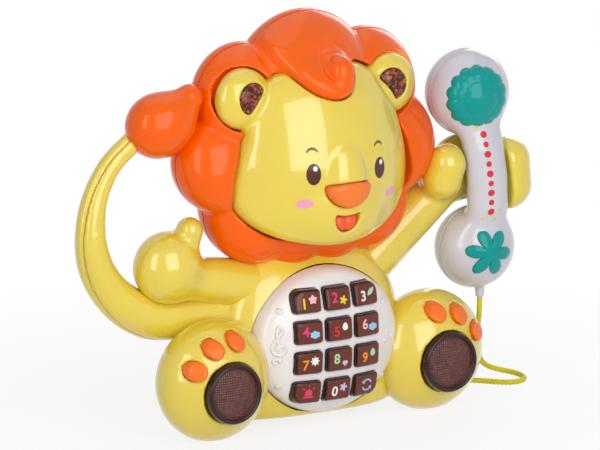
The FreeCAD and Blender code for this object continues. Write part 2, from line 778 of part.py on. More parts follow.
def ear_lens(side):
    """One brown ear lens, cut to the curve of the head."""
    place = (side * EAR_LENS_PLACE[0], EAR_LENS_PLACE[1])
    ear = ((side * EAR_CENTRE[0], EAR_CENTRE[1], EAR_CENTRE[2]), EAR_RADIUS, EAR_HALF_DEPTH, EAR_RIM)
    return lens_block(place, 0.0).common(cap_ball(ear, -SEAT_GAP)).cut(cap_ball(ear, -EAR_LENS_THICK))


def lens_block(place, extra):
    """The prism that the lens and its opening share."""
    round_part = pin_y(place[0], place[1], EAR_LENS_RADIUS + extra, -REACH, EAR_CENTRE[1])
    head = pin_y(0.0, HEAD_ARC_Z, HEAD_ARC_RADIUS - extra, -REACH, REACH)
    return round_part.cut(head)


def ear_led(side):
    """A lamp on its round board, behind one lens."""
    x, z = side * EAR_CENTRE[0], EAR_CENTRE[2]
    lens_x = side * EAR_LENS_PLACE[0]
    board_back = EAR_BOARD_Y + EAR_BOARD_THICK
    rim_reach = math.sqrt((EAR_RIM - WALL) ** 2 - (board_back - EAR_CENTRE[1]) ** 2)
    board_radius = EAR_RADIUS - EAR_RIM + rim_reach - SEAT_GAP
    board = pin_y(x, z, board_radius, EAR_BOARD_Y, board_back)
    front = EAR_BOARD_Y - LED_LENGTH
    bend = Vector(lens_x, front + LED_RADIUS, EAR_LENS_PLACE[1])
    body = pin_y(lens_x, EAR_LENS_PLACE[1], LED_RADIUS, bend.y, EAR_BOARD_Y)
    tip = Part.makeCone(LED_RADIUS, LED_RADIUS / 2, LED_RADIUS, bend, Vector(0, -1, 0))
    return board.fuse([body, tip])


def face_pieces(forelock_grown):
    """Face shell with its ears, the nose and the tongue."""
    front = FACE_FRONT_Y - FORELOCK_PROUD
    outer = prism_y(face_wire(), front, FACE_BACK_Y).common(face_ball())
    inner = prism_y(face_wire(-WALL), front, FACE_BACK_Y).common(face_ball(-WALL))
    in_front = between_y(-REACH, EAR_BACK_Y)
    ears = [ear_solid(side).common(in_front) for side in (-1, 1)]
    ear_rooms = [ear_solid(side, -WALL).common(in_front) for side in (-1, 1)]
    bridge = capsule(BRIDGE)
    over_nose = Part.makeBox(2 * REACH, 2 * REACH, REACH, Vector(-REACH, -REACH, NOSE_TOP_Z))
    bridge = bridge.common(over_nose).cut(face_ball(-WALL / 2))
    shell = outer.fuse(ears).cut([inner.fuse(ear_rooms)]).fuse(bridge)
    nose_size = (NOSE_HALF_WIDTH, NOSE_TOP_Z, NOSE_BOTTOM_Z)
    mouth_size = (MOUTH_HALF_WIDTH, MOUTH_TOP_Z, MOUTH_BOTTOM_Z)
    shell = shell.cut(prism_y(half_round_wire(*nose_size, SEAT_GAP), 2 * front, FACE_BACK_Y))
    shell = shell.cut(prism_y(half_round_wire(*mouth_size, SEAT_GAP), 2 * front, FACE_BACK_Y))
    for side in (-1, 1):
        place = (side * EAR_LENS_PLACE[0], EAR_LENS_PLACE[1])
        shell = shell.cut(lens_block(place, SEAT_GAP))
    shell = shell.cut(forelock_grown)
    nose = prism_y(half_round_wire(*nose_size), 2 * front, FACE_BACK_Y)
    nose = nose.common(face_ball(NOSE_PROUD)).cut(face_ball(-WALL))
    tongue = prism_y(half_round_wire(*mouth_size), 2 * front, FACE_BACK_Y)
    tongue = tongue.common(face_ball(-WALL / 3)).cut(face_ball(-2 * WALL))
    return shell, nose, tongue


def head_cut():
    """What the mane gives way to: the face, its ears and the torso's neck."""
    window = prism_y(face_wire(SEAT_GAP), FACE_FRONT_Y, FACE_BACK_Y + WALL)
    return [window, ear_solid(-1, SEAT_GAP), ear_solid(1, SEAT_GAP), torso_solid(SEAT_GAP)]


def speaker_pieces():
    """The speaker, and the holes of its grille."""
    back = MANE_STEPS[0][0] - WALL
    rim = pin_y(0.0, SPEAKER_Z, SPEAKER_RADIUS, back - SPEAKER_RIM, back)
    neck = back - SPEAKER_RIM - SPEAKER_CONE_DEPTH
    cone = Part.makeCone(
        SPEAKER_CONE_RADIUS,
        SPEAKER_NECK_RADIUS,
        SPEAKER_CONE_DEPTH,
        Vector(0, back - SPEAKER_RIM, SPEAKER_Z),
        Vector(0, -1, 0),
    )
    magnet = pin_y(0.0, SPEAKER_Z, SPEAKER_NECK_RADIUS, neck - SPEAKER_MAGNET_DEPTH, neck)
    holes = [pin_y(0.0, SPEAKER_Z, GRILLE_HOLE_RADIUS, back - WALL / 2, REACH)]
    for ring in range(1, GRILLE_RINGS + 1):
        for step in range(6 * ring):
            turn = 2 * math.pi * step / (6 * ring)
            x = ring * GRILLE_RING_STEP * math.cos(turn)
            z = SPEAKER_Z + ring * GRILLE_RING_STEP * math.sin(turn)
            holes.append(pin_y(x, z, GRILLE_HOLE_RADIUS, back - WALL / 2, REACH))
    return rim.fuse([cone, magnet]), holes


def power_pieces():
    """Battery box, cells, door, door screw and switch, with the cuts they need."""
    half_x = CELL_LENGTH / 2 + BOX_PLAY
    half_z = CELL_COUNT * CELL_PITCH / 2 + BOX_PLAY
    floor = CELL_Y - CELL_RADIUS - BOX_PLAY
    box = box_y(half_x + BOX_WALL, half_z + BOX_WALL, BOX_Z, floor - BOX_WALL, REACH)
    box = box.common(torso_solid(-WALL - SEAT_GAP))
    box = box.cut(box_y(half_x, half_z, BOX_Z, floor, REACH))
    cells = []
    for index in range(CELL_COUNT):
        z = BOX_Z + (index - (CELL_COUNT - 1) / 2) * CELL_PITCH
        start = Vector(-CELL_LENGTH / 2, CELL_Y, z)
        cells.append(Part.makeCylinder(CELL_RADIUS, CELL_LENGTH, start, Vector(1, 0, 0)))
    door_half_z = half_z + DOOR_LAP / 2
    tab_z = BOX_Z + door_half_z
    screw_z = tab_z + DOOR_TAB / 2

    def door_block(extra):
        block = box_y(half_x + DOOR_LAP / 2 + extra, door_half_z + extra, BOX_Z, 0.0, REACH)
        tab = box_y(DOOR_TAB / 2 + extra, DOOR_TAB / 2 + extra, screw_z, 0.0, REACH)
        return block.fuse(tab)

    skin = torso_solid().cut(torso_solid(-DOOR_THICK))
    door = door_block(0.0).common(skin)
    door = door.cut(pin_y(0.0, screw_z, DOOR_SCREW_RADIUS + SEAT_GAP, 0.0, REACH))
    seat = torso_depth(screw_z) - SEAT_GAP
    screw = pin_y(0.0, screw_z, DOOR_SCREW_RADIUS, seat - DOOR_SCREW_LENGTH, seat)
    screw = screw.fuse(pin_y(0.0, screw_z, DOOR_SCREW_HEAD, seat + SEAT_GAP * 2, seat + DOOR_THICK))
    screw = screw.fuse(pin_y(0.0, screw_z, DOOR_SCREW_RADIUS, seat, seat + DOOR_THICK))
    boss = pin_y(0.0, screw_z, BOSS_RADIUS, seat - DOOR_SCREW_LENGTH, seat - DOOR_THICK - SEAT_GAP)
    knob = box_y(SWITCH_HALF[0], SWITCH_HALF[1], SWITCH_Z, 0.0, torso_depth(SWITCH_Z) + SWITCH_PROUD)
    inside = torso_depth(SWITCH_Z) - 2 * WALL
    knob = knob.common(between_y(inside - SWITCH_FLANGE_THICK, REACH))
    flange = box_y(
        SWITCH_HALF[0] + SWITCH_FLANGE + SWITCH_TRAVEL,
        SWITCH_HALF[1] + SWITCH_FLANGE,
        SWITCH_Z,
        inside - SWITCH_FLANGE_THICK,
        inside,
    )
    slot = box_y(
        SWITCH_HALF[0] + SWITCH_TRAVEL + SLIDE_GAP,
        SWITCH_HALF[1] + SLIDE_GAP,
        SWITCH_Z,
        inside,
        REACH,
    )
    cuts = [door_block(SEAT_GAP), slot]
    return box, cells, door, screw, boss, knob.fuse(flange), cuts


def torso_depth(z):
    """How far the torso's skin lies behind Y = 0 at the middle."""
    below = TORSO_SECTIONS[0]
    for section in TORSO_SECTIONS[1:]:
        if z <= section[0]:
            share = (z - below[0]) / (section[0] - below[0])
            return below[3] + share * (section[3] - below[3])
        below = section
    return below[3]


def handle_solid(extra=0.0):
    """The bowed grip between the two cups of the handset."""
    wires = []
    for x, y, z in HANDLE_STATIONS:
        middle = Vector(x, y, z)
        main = Vector(x + HANDLE_HALF_WIDTH + extra, y, z)
        side = Vector(x, y + HANDLE_HALF_DEPTH + extra, z)
        wires.append(Part.Wire([Part.Ellipse(main, side, middle).toShape()]))
    return Part.makeLoft(wires, True, False, False)


def handle_channel():
    """The room that the paw leaves for the grip, open to the front."""
    half = HANDLE_HALF_WIDTH + MOVING_GAP
    right = [Vector(x + half, 0, z) for x, y, z in HANDLE_STATIONS]
    left = [Vector(x - half, 0, z) for x, y, z in reversed(HANDLE_STATIONS)]
    deepest = min(y for x, y, z in HANDLE_STATIONS) + HANDLE_HALF_DEPTH + MOVING_GAP
    wire = Part.makePolygon(right + left + [right[0]])
    return prism_y(wire, -REACH / 2, deepest)


def scalloped_wire(centre):
    """A round outline with a scalloped edge."""
    edges = []
    for step in range(ROSETTE_SCALLOPS):
        angles = [2 * math.pi * (step + part) / ROSETTE_SCALLOPS for part in (0.0, 0.5, 1.0)]
        radii = [ROSETTE_RADIUS, ROSETTE_RADIUS + ROSETTE_SCALLOP_RISE, ROSETTE_RADIUS]
        points = [
            Vector(centre[0] + r * math.cos(a), 0, centre[2] + r * math.sin(a))
            for a, r in zip(angles, radii)
        ]
        edges.append(Part.Arc(*points).toShape())
    return Part.Wire(edges)


def flower_prism(centre):
    """Petals round a hub, drawn through the depth of the mouthpiece."""
    x, y, z = centre
    hub = pin_y(x, z, FLOWER_PETAL_RADIUS, -REACH, y)
    petals = []
    for step in range(FLOWER_PETALS):
        turn = 2 * math.pi * step / FLOWER_PETALS
        mid_x = x + FLOWER_REACH / 2 * math.cos(turn) * 1.2
        mid_z = z + FLOWER_REACH / 2 * math.sin(turn) * 1.2
        reach = FLOWER_REACH / 2 + FLOWER_PETAL_RADIUS / 2
        wire = ellipse_wire_y(mid_x, 0.0, mid_z, reach, FLOWER_PETAL_RADIUS, turn)
        petals.append(prism_y(wire, -REACH / 2, y))
    return hub.fuse(petals)


def relief(prism, cup, turn):
    """A thin raised plate that lies on the front of a cup, turned on it, clear of the grip."""
    ball = cap_ball(cup, SEAT_GAP)
    plate = prism.rotated(ball.BoundBox.Center, Vector(0, 0, 1), turn)
    plate = plate.common(cap_ball(cup, RELIEF_PROUD)).cut(ball)
    return plate.cut(handle_solid(SEAT_GAP))


def sound_holes(centre):
    """Holes in the back of a cup."""
    holes = [pin_y(centre[0], centre[2], SOUND_HOLE_RADIUS, centre[1], REACH)]
    for step in range(SOUND_HOLES):
        turn = 2 * math.pi * step / SOUND_HOLES
        x = centre[0] + SOUND_HOLE_RING * math.cos(turn)
        z = centre[2] + SOUND_HOLE_RING * math.sin(turn)
        holes.append(pin_y(x, z, SOUND_HOLE_RADIUS, centre[1], REACH))
    return holes


def handset_pieces():
    """Front of the handset, its two back caps and its two reliefs."""
    cups = [EARPIECE, MOUTHPIECE]
    in_front, behind = between_y(-REACH, CUP_SPLIT_Y), between_y(CUP_SPLIT_Y, REACH)
    outer = [bun(cup) for cup in cups]
    inner = [bun(cup, -HANDSET_WALL) for cup in cups]
    gland = Part.makeCylinder(
        GLAND_RADIUS, GLAND_TOP_Z - GLAND_END_Z, Vector(GLAND_PLACE[0], GLAND_PLACE[1], GLAND_END_Z)
    )
    front = handle_solid().fuse(outer + [gland])
    front = front.cut([handle_solid(-HANDSET_WALL).fuse(inner)]).common(in_front)
    caps = []
    for cup, shell, room in zip(cups, outer, inner):
        caps.append(shell.cut(room).common(behind).cut(sound_holes(cup[0])))
    rosette_prism = prism_y(scalloped_wire(EARPIECE[0]), -REACH / 2, CUP_SPLIT_Y)
    rosette = relief(rosette_prism, EARPIECE, ROSETTE_TURN)
    flower = relief(flower_prism(MOUTHPIECE[0]), MOUTHPIECE, FLOWER_TURN)
    return front, caps, rosette, flower


def cord_path(points):
    """Straight runs joined by tangent arcs; prints each bend's radius."""
    stops = [Vector(*point) for point in points]
    edges = []
    radii = []
    last = stops[0]
    for before, corner, after in zip(stops, stops[1:], stops[2:]):
        back, ahead = before - corner, after - corner
        reach = CORD_BEND_SHARE * min(back.Length, ahead.Length)
        start = corner + back.normalize() * reach
        end = corner + ahead.normalize() * reach
        half_turn = (math.pi - back.getAngle(ahead)) / 2
        radius = reach / math.tan(half_turn)
        radii.append(radius)
        inward = (back + ahead).normalize()
        middle = corner + inward * (radius / math.cos(half_turn) - radius)
        edges.append(Part.LineSegment(last, start).toShape())
        edges.append(Part.Arc(start, middle, end).toShape())
        last = end
    edges.append(Part.LineSegment(last, stops[-1]).toShape())
    print("cord bend radii", [round(radius, 1) for radius in radii])
    return Part.Wire(edges)


def cord_tube():
    """The cord between the grommet and the handset."""
    path = cord_path(CORD_ROUTE)
    start = Vector(*CORD_ROUTE[0])
    along = Vector(*CORD_ROUTE[1]) - start
    section = Part.Wire([Part.Circle(start, along, CORD_RADIUS).toShape()])
    tube = path.makePipeShell([section], True, False)
    expected = math.pi * CORD_RADIUS**2 * path.Length
    print("cord length", round(path.Length, 1), "volume share", round(tube.Volume / expected, 4))
    return tube


def grommet():
    """The sleeve that the cord leaves the right foot by, and its hole."""
    x, z = GROMMET_PLACE
    sleeve = pin_y(x, z, GROMMET_RADIUS, GROMMET_BACK_Y, GROMMET_END_Y)
    return sleeve, pin_y(x, z, GROMMET_RADIUS + SEAT_GAP, GROMMET_BACK_Y - GROMMET_HOLE_LEAD, REACH)


def write_node(name, shape):
    """One STEP file for one piece, or one group of like pieces."""
    solids = shape.Solids if hasattr(shape, "Solids") else [s for part in shape for s in part.Solids]
    body = solids[0] if len(solids) == 1 else Part.makeCompound(solids)
    body.exportStep("parts/" + name + ".step")
    valid = all(solid.isValid() for solid in solids)
    print(name, len(solids), "solid(s)", round(sum(s.Volume for s in solids)), "valid" if valid else "INVALID")


def main():
    os.makedirs("parts", exist_ok=True)
    torso = torso_solid()
    torso_grown = torso_solid(SEAT_GAP)
    panel = panel_solid()
    panel_grown = panel_solid(SEAT_GAP, 2 * WALL)
    screws = []

    box, cells, door, door_screw, door_boss, knob, back_cuts = power_pieces()
    panel_hole = prism_y(
        ellipse_wire_y(0.0, 0.0, PANEL_Z, PANEL_HALF_WIDTH + SEAT_GAP, PANEL_HALF_HEIGHT + SEAT_GAP),
        -REACH / 2,
        PANEL_BACK_Y / 2,
    )
    front, back = split_shell(torso, torso_solid(-WALL))
    front, back, made = add_screws(front, back, torso, TORSO_SCREWS, [])
    screws += made
    front = front.cut(panel_hole)
    back = back.fuse(door_boss).cut(back_cuts + [door_screw])
    write_node("torso_front", front)
    write_node("torso_back", back)
    write_node("battery_box", box)
    write_node("batteries", cells)
    write_node("battery_door", door)
    write_node("door_screw", door_screw)
    write_node("power_switch", knob)

    key_holes = [
        prism_y(key_wire(index, SLIDE_GAP), -REACH / 2, 0.0) for index in range(len(KEY_NAMES))
    ]
    write_node("belly_panel", panel.cut([panel_solid(-PANEL_WALL, 2 * WALL)] + key_holes))
    for index, name in enumerate(KEY_NAMES):
        write_node("key_" + name, key_cap(index))
    dome_top = KEY_STEM_BACK_Y + DOME_GAP
    membrane_back = MEMBRANE_FRONT_Y + MEMBRANE_THICK
    membrane = key_field(MEMBRANE_MARGIN, MEMBRANE_FRONT_Y, membrane_back)
    membrane = membrane.fuse(
        [
            rubber_dome(*key_place(i), MEMBRANE_FRONT_Y, dome_top, DOME_BASE_RADIUS, DOME_TOP_RADIUS)
            for i in range(len(KEY_NAMES))
        ]
    )
    write_node("key_membrane", membrane)
    write_node("main_board", key_field(BOARD_MARGIN, membrane_back, membrane_back + BOARD_THICK))

    foot_front, foot_back, pad, toes, foot_circuit = foot_pieces()
    sleeve, sleeve_hole = grommet()
    write_node("cord_grommet", sleeve)
    for side, turn in (("right", lambda shape: shape), ("left", mirrored)):
        front = turn(foot_front).cut([torso_grown, panel_grown])
        back = turn(foot_back).cut([torso_grown, sleeve_hole])
        write_node("foot_%s_front" % side, front)
        write_node("foot_%s_back" % side, back)
        write_node("paw_pad_" + side, turn(pad))
        write_node("foot_board_" + side, turn(foot_circuit))
        for index, toe in enumerate(toes):
            write_node("toe_%s_%d" % (side, index + 1), turn(toe))

    arm_left = arm_left_solid()
    front, back = split_shell(arm_left, arm_left_solid(-WALL), [torso_grown])
    front, back, made = add_screws(front, back, arm_left, ARM_LEFT_SCREWS, [torso_grown])
    screws += made
    write_node("arm_left_front", front)
    write_node("arm_left_back", back)

    arm_right = arm_right_solid()
    arm_cuts = [torso_grown, mane_solid(SEAT_GAP)]
    front, back = split_shell(arm_right, arm_right_solid(-WALL), arm_cuts + [handle_channel()])
    front, back, made = add_screws(front, back, arm_right, ARM_RIGHT_SCREWS, arm_cuts)
    screws += made
    write_node("arm_right_front", front)
    write_node("arm_right_back", back)

    mane = mane_solid()
    tip_shape = bun(TAIL_TIP).fuse(bun(TAIL_POINT))
    tip_room = bun(TAIL_TIP, -WALL)
    tail = tail_solid()
    tail_cuts = [torso_grown, arm_left_solid(SEAT_GAP), foot_solid(-1, SEAT_GAP)]
    front, back = split_shell(tail, tail_solid(-WALL), tail_cuts)
    front, back, made = add_screws(front, back, tail, TAIL_SCREWS, tail_cuts)
    screws += made
    write_node("tail_front", front)
    write_node("tail_back", back)
    write_node("tail_tip", tip_shape.cut([tip_room, tail_solid(SEAT_GAP), mane_solid(SEAT_GAP)]))

    speaker, grille = speaker_pieces()
    gaps = head_cut()
    front, back = split_shell(mane, mane_solid(-WALL), gaps)
    front, back, made = add_screws(front, back, mane, MANE_SCREWS, gaps)
    screws += made
    write_node("mane_front", front.fuse(forelock_solid()))
    write_node("mane_back", back.cut(grille))
    write_node("speaker", speaker)
    face, nose, tongue = face_pieces(forelock_solid(SEAT_GAP))
    write_node("face_shell", face)
    write_node("nose", nose)
    write_node("tongue", tongue)
    for side, name in ((-1, "left"), (1, "right")):
        write_node("ear_lens_" + name, ear_lens(side))
    write_node("ear_lamps", [ear_led(-1), ear_led(1)])
    write_node("shell_screws", screws)

    handset, caps, rosette, flower = handset_pieces()
    write_node("handset_front", handset)
    write_node("earpiece_cap", caps[0])
    write_node("mouthpiece_cap", caps[1])
    write_node("earpiece_rosette", rosette)
    write_node("mouthpiece_flower", flower)
    write_node("handset_cord", cord_tube())


main()
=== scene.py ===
"""Looks of a seated lion toy telephone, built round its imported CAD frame.

Most pieces are skins of fields: signed distances in millimetres, negative inside, in the frame of the CAD.
"""
import json
import math

import bmesh
import bpy
import numpy as np
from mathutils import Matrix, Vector
from mathutils.bvhtree import BVHTree


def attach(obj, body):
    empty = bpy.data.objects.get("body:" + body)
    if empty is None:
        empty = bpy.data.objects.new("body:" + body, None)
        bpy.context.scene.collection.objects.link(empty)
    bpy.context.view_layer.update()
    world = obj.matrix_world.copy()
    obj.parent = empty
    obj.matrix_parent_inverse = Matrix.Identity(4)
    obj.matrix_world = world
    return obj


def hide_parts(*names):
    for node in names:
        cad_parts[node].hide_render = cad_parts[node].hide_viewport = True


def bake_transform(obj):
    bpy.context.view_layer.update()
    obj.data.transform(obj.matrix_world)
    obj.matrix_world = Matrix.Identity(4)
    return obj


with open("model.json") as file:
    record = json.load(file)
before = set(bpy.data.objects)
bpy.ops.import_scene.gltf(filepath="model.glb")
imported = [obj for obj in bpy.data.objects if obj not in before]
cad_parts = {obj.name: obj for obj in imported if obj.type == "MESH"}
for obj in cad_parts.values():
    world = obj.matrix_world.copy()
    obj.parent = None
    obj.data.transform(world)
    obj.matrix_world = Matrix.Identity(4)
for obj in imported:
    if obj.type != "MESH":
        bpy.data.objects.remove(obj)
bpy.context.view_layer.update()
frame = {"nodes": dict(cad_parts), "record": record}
MM = 0.001
FAR = 1e9
TINY = 1e-9
STEP = 1.1
FINE_STEP = 0.7
SEAM = -3.0
SEAM_GAP = 0.2
EDGE = 0.9


# Fields
def smooth_min(a, b, soft):
    """The lesser of two fields, rounded where they are nearly equal."""
    h = np.clip(0.5 + 0.5 * (b - a) / soft, 0.0, 1.0)
    return b * (1 - h) + a * h - soft * h * (1 - h)


def smooth_max(a, b, soft):
    return -smooth_min(-a, -b, soft)


def cut(f, tool, soft):
    """A field with a tool taken out of it."""
    return smooth_max(f, -tool, soft)


def oval(p, centre, size):
    q = (p - np.array(centre)) / np.array(size)
    near = np.linalg.norm(q, axis=1)
    steep = np.linalg.norm(q / np.array(size), axis=1)
    return near * (near - 1) / np.maximum(steep, TINY)


def bun_arc(radius, half_depth, rim):
    """Edge and thickness inside the rim of a bun, and how far behind it its front arc is centred."""
    edge, thick = radius - rim, half_depth - rim
    return edge, thick, (edge**2 - thick**2) / (2 * thick)


def bun(p, centre, radius, half_depth, rim):
    """A flattened ball about Y, turned from arcs as in the CAD."""
    q = p - np.array(centre)
    across, deep = np.hypot(q[:, 0], q[:, 2]), np.abs(q[:, 1])
    edge, thick, back = bun_arc(radius, half_depth, rim)
    beside = (across - edge) * back > deep * edge
    front = np.hypot(across, deep + back) - back - thick
    return np.where(beside, np.hypot(across - edge, deep), front) - rim


def bore(p, x, z, radius, front, back):
    """A round hole along Y."""
    around = np.hypot(p[:, 0] - x, p[:, 2] - z) - radius
    return np.maximum(around, np.maximum(front - p[:, 1], p[:, 1] - back))


def rod(p, start, end, first, last):
    """A limb between two places, with its radius at each."""
    a, b = np.array(start), np.array(end)
    along = np.clip((p - a) @ (b - a) / ((b - a) @ (b - a)), 0.0, 1.0)
    return np.linalg.norm(p - a - along[:, None] * (b - a), axis=1) - first - (last - first) * along


def spline_span(a, b, c, d, count):
    """Points of a smooth line from b to just before c, where a and d lie beyond them."""
    t = np.linspace(0, 1, count, endpoint=False)[:, None]
    return 0.5 * (2 * b + (c - a) * t + (2 * a - 5 * b + 4 * c - d) * t**2 + (3 * b - a - 3 * c + d) * t**3)


def spline_loop(points, count=160):
    """A closed smooth line through the points."""
    pts = np.array(points, float)
    n = len(pts)
    return np.concatenate([
        spline_span(pts[i - 1], pts[i], pts[(i + 1) % n], pts[(i + 2) % n], count // n) for i in range(n)
    ])


def spline_open(points, per):
    """A smooth line through the points, end to end."""
    pts = np.array(points, float)
    pts = np.concatenate([[2 * pts[0] - pts[1]], pts, [2 * pts[-1] - pts[-2]]])
    spans = [spline_span(*four, per) for four in zip(pts, pts[1:], pts[2:], pts[3:])]
    return np.concatenate(spans + [pts[-2:-1]])


class Outline:
    """Signed distance to a closed line in the X, Z plane, read from a grid."""

    step = 0.5
    margin = 40.0
    inset = 1.001

    def __init__(self, loop):
        self.low = loop.min(0) - self.margin
        nx, nz = np.ceil((loop.max(0) + self.margin - self.low) / self.step).astype(int)
        xs = self.low[0] + self.step * np.arange(nx)
        zs = self.low[1] + self.step * np.arange(nz)
        gx, gz = np.meshgrid(xs, zs, indexing="ij")
        q = np.stack([gx.ravel(), gz.ravel()], 1)
        best = np.full(len(q), FAR)
        inside = np.zeros(len(q), bool)
        for a, b in zip(loop, np.roll(loop, -1, 0)):
            e = b - a
            t = np.clip((q - a) @ e / (e @ e + TINY), 0, 1)
            best = np.minimum(best, np.sum((q - a - t[:, None] * e) ** 2, axis=1))
            over = (a[1] > q[:, 1]) != (b[1] > q[:, 1])
            if a[1] != b[1]:
                inside ^= over & (q[:, 0] < (b[0] - a[0]) * (q[:, 1] - a[1]) / (b[1] - a[1]) + a[0])
        self.grid = (np.sqrt(best) * np.where(inside, -1, 1)).reshape(nx, nz)

    def __call__(self, x, z):
        g = self.grid
        fx = np.clip((x - self.low[0]) / self.step, 0, g.shape[0] - self.inset)
        fz = np.clip((z - self.low[1]) / self.step, 0, g.shape[1] - self.inset)
        i, j = fx.astype(int), fz.astype(int)
        u, v = fx - i, fz - j
        near = g[i, j] * (1 - u) + g[i + 1, j] * u
        far = g[i, j + 1] * (1 - u) + g[i + 1, j + 1] * u
        return near * (1 - v) + far * v


# Skins: meshes of the zero of a field
CORNERS = np.array([(i, j, k) for i in (0, 1) for j in (0, 1) for k in (0, 1)])
CELL_EDGES = [(a, b) for a in range(8) for b in range(a + 1, 8) if abs(CORNERS[a] - CORNERS[b]).sum() == 1]
SETTLE_ROUNDS = 4
SETTLE_NUDGE = 0.02
LEAST_SLOPE = 0.05
LONGEST_MOVE = 0.7


def settle(field, v, step):
    """Moves points onto the zero of a field."""
    for _ in range(SETTLE_ROUNDS):
        f = field(v)
        nudges = SETTLE_NUDGE * np.eye(3)
        grad = np.stack([(field(v + e) - field(v - e)) / (2 * SETTLE_NUDGE) for e in nudges], 1)
        move = grad * (f / np.maximum((grad**2).sum(1), LEAST_SLOPE))[:, None]
        length = np.linalg.norm(move, axis=1, keepdims=True)
        v = v - move * np.minimum(1, LONGEST_MOVE * step / np.maximum(length, TINY))
    return v


def skin(field, space, step):
    """Vertices and quads of the surface of a field, inside a space of two corners."""
    low = np.array(space[0], float)
    count = np.ceil((np.array(space[1]) - low) / step).astype(int) + 1
    axes = [low[i] + step * np.arange(count[i]) for i in range(3)]
    f = np.empty(count)
    gy, gz = np.meshgrid(axes[1], axes[2], indexing="ij")
    for i, x in enumerate(axes[0]):
        f[i] = field(np.stack([np.full(gy.size, x), gy.ravel(), gz.ravel()], 1)).reshape(gy.shape)
    neg = f < 0
    last = count - 1
    total = sum(neg[i:last[0] + i, j:last[1] + j, k:last[2] + k].astype(int) for i, j, k in CORNERS)
    cells = np.argwhere((total > 0) & (total < len(CORNERS)))
    number = np.full(last, -1)
    number[tuple(cells.T)] = np.arange(len(cells))
    value = np.stack([f[tuple((cells + c).T)] for c in CORNERS], 1)
    where = np.zeros((len(cells), 3))
    hits = np.zeros(len(cells))
    for a, b in CELL_EDGES:
        cross = (value[:, a] < 0) != (value[:, b] < 0)
        t = value[:, a] / np.where(cross, value[:, a] - value[:, b], 1)
        where += np.where(cross[:, None], CORNERS[a] + t[:, None] * (CORNERS[b] - CORNERS[a]), 0)
        hits += cross
    v = low + step * (cells + where / hits[:, None])
    quads = []
    for axis in range(3):
        u, w = (axis + 1) % 3, (axis + 2) % 3
        first, second = np.delete(neg, -1, axis), np.delete(neg, 0, axis)
        at = np.argwhere(first != second)
        at = at[((at[:, [u, w]] > 0) & (at[:, [u, w]] < last[[u, w]])).all(1)]
        du, dw = np.eye(3, dtype=int)[[u, w]]
        ring = [number[tuple((at - s * du - t * dw).T)] for s, t in ((1, 1), (0, 1), (0, 0), (1, 0))]
        quad = np.stack(ring, 1)
        flip = ~first[tuple(at.T)]
        quad[flip] = quad[flip][:, ::-1]
        quads.append(quad)
    return settle(field, v, step), np.concatenate(quads)


def soften(verts, faces, rounds):
    """Evens out a mesh by moving each point half way to the middle of its neighbours."""
    faces = np.asarray(faces)
    a, b = faces.ravel(), np.roll(faces, -1, axis=1).ravel()
    for _ in range(rounds):
        total = np.zeros_like(verts)
        count = np.zeros(len(verts))
        for one, two in ((a, b), (b, a)):
            np.add.at(total, one, verts[two])
            np.add.at(count, one, 1)
        verts = verts + 0.5 * (total / count[:, None] - verts)
    return verts


def mirrored(space, side):
    """A space given for the right side, or its mirror image for the left."""
    (x0, y0, z0), (x1, y1, z1) = space
    near, far = sorted((side * x0, side * x1))
    return (near, y0, z0), (far, y1, z1)


def space_at(x, z, half, depths):
    return (x - half[0], depths[0], z - half[1]), (x + half[0], depths[1], z + half[1])


# Materials
def srgb(*rgb):
    return tuple(((c / 255) / 12.92 if c <= 10 else ((c / 255 + 0.055) / 1.055) ** 2.4) for c in rgb) + (1.0,)


def set_sockets(node, **values):
    """Sets sockets by name; an underscore stands for a space."""
    for socket, value in values.items():
        node.inputs[socket.replace("_", " ")].default_value = value


def add_node(tree, kind, **values):
    """A new shader node with these values on its sockets."""
    node = tree.nodes.new("ShaderNode" + kind)
    set_sockets(node, **values)
    return node


def plastic(name, colour, rough=0.2, vary=0.05, bump=0.02, coat=0.35, tint=0.6):
    """Moulded plastic: a slight cloud in the colour, uneven gloss and a fine skin."""
    mat = bpy.data.materials.new(name)
    mat.use_nodes = True
    tree, link = mat.node_tree, mat.node_tree.links.new
    bsdf = tree.nodes["Principled BSDF"]
    where = add_node(tree, "TexCoord").outputs["Object"]
    cloud = add_node(tree, "TexNoise", Scale=28.0, Detail=3.0)
    link(where, cloud.inputs["Vector"])
    ramp = add_node(tree, "ValToRGB")
    for end, share in zip(ramp.color_ramp.elements, (1 - vary, 1 + vary)):
        end.color = (*[min(1.0, c * share) for c in colour[:3]], 1)
    link(cloud.outputs["Fac"], ramp.inputs["Fac"])
    link(ramp.outputs["Color"], bsdf.inputs["Base Color"])
    gloss = add_node(tree, "MapRange", To_Min=rough * 0.8, To_Max=rough * 1.25)
    link(cloud.outputs["Fac"], gloss.inputs["Value"])
    link(gloss.outputs["Result"], bsdf.inputs["Roughness"])
    grain = add_node(tree, "TexNoise", Scale=900.0)
    link(where, grain.inputs["Vector"])
    lump = add_node(tree, "Bump", Strength=bump, Distance=0.0004)
    link(grain.outputs["Fac"], lump.inputs["Height"])
    link(lump.outputs["Normal"], bsdf.inputs["Normal"])
    set_sockets(bsdf, Coat_Weight=coat, Coat_Roughness=0.03, Coat_IOR=1.5, IOR=1.45,
                Specular_Tint=(*[1 - tint + tint * c for c in colour[:3]], 1))
    return mat


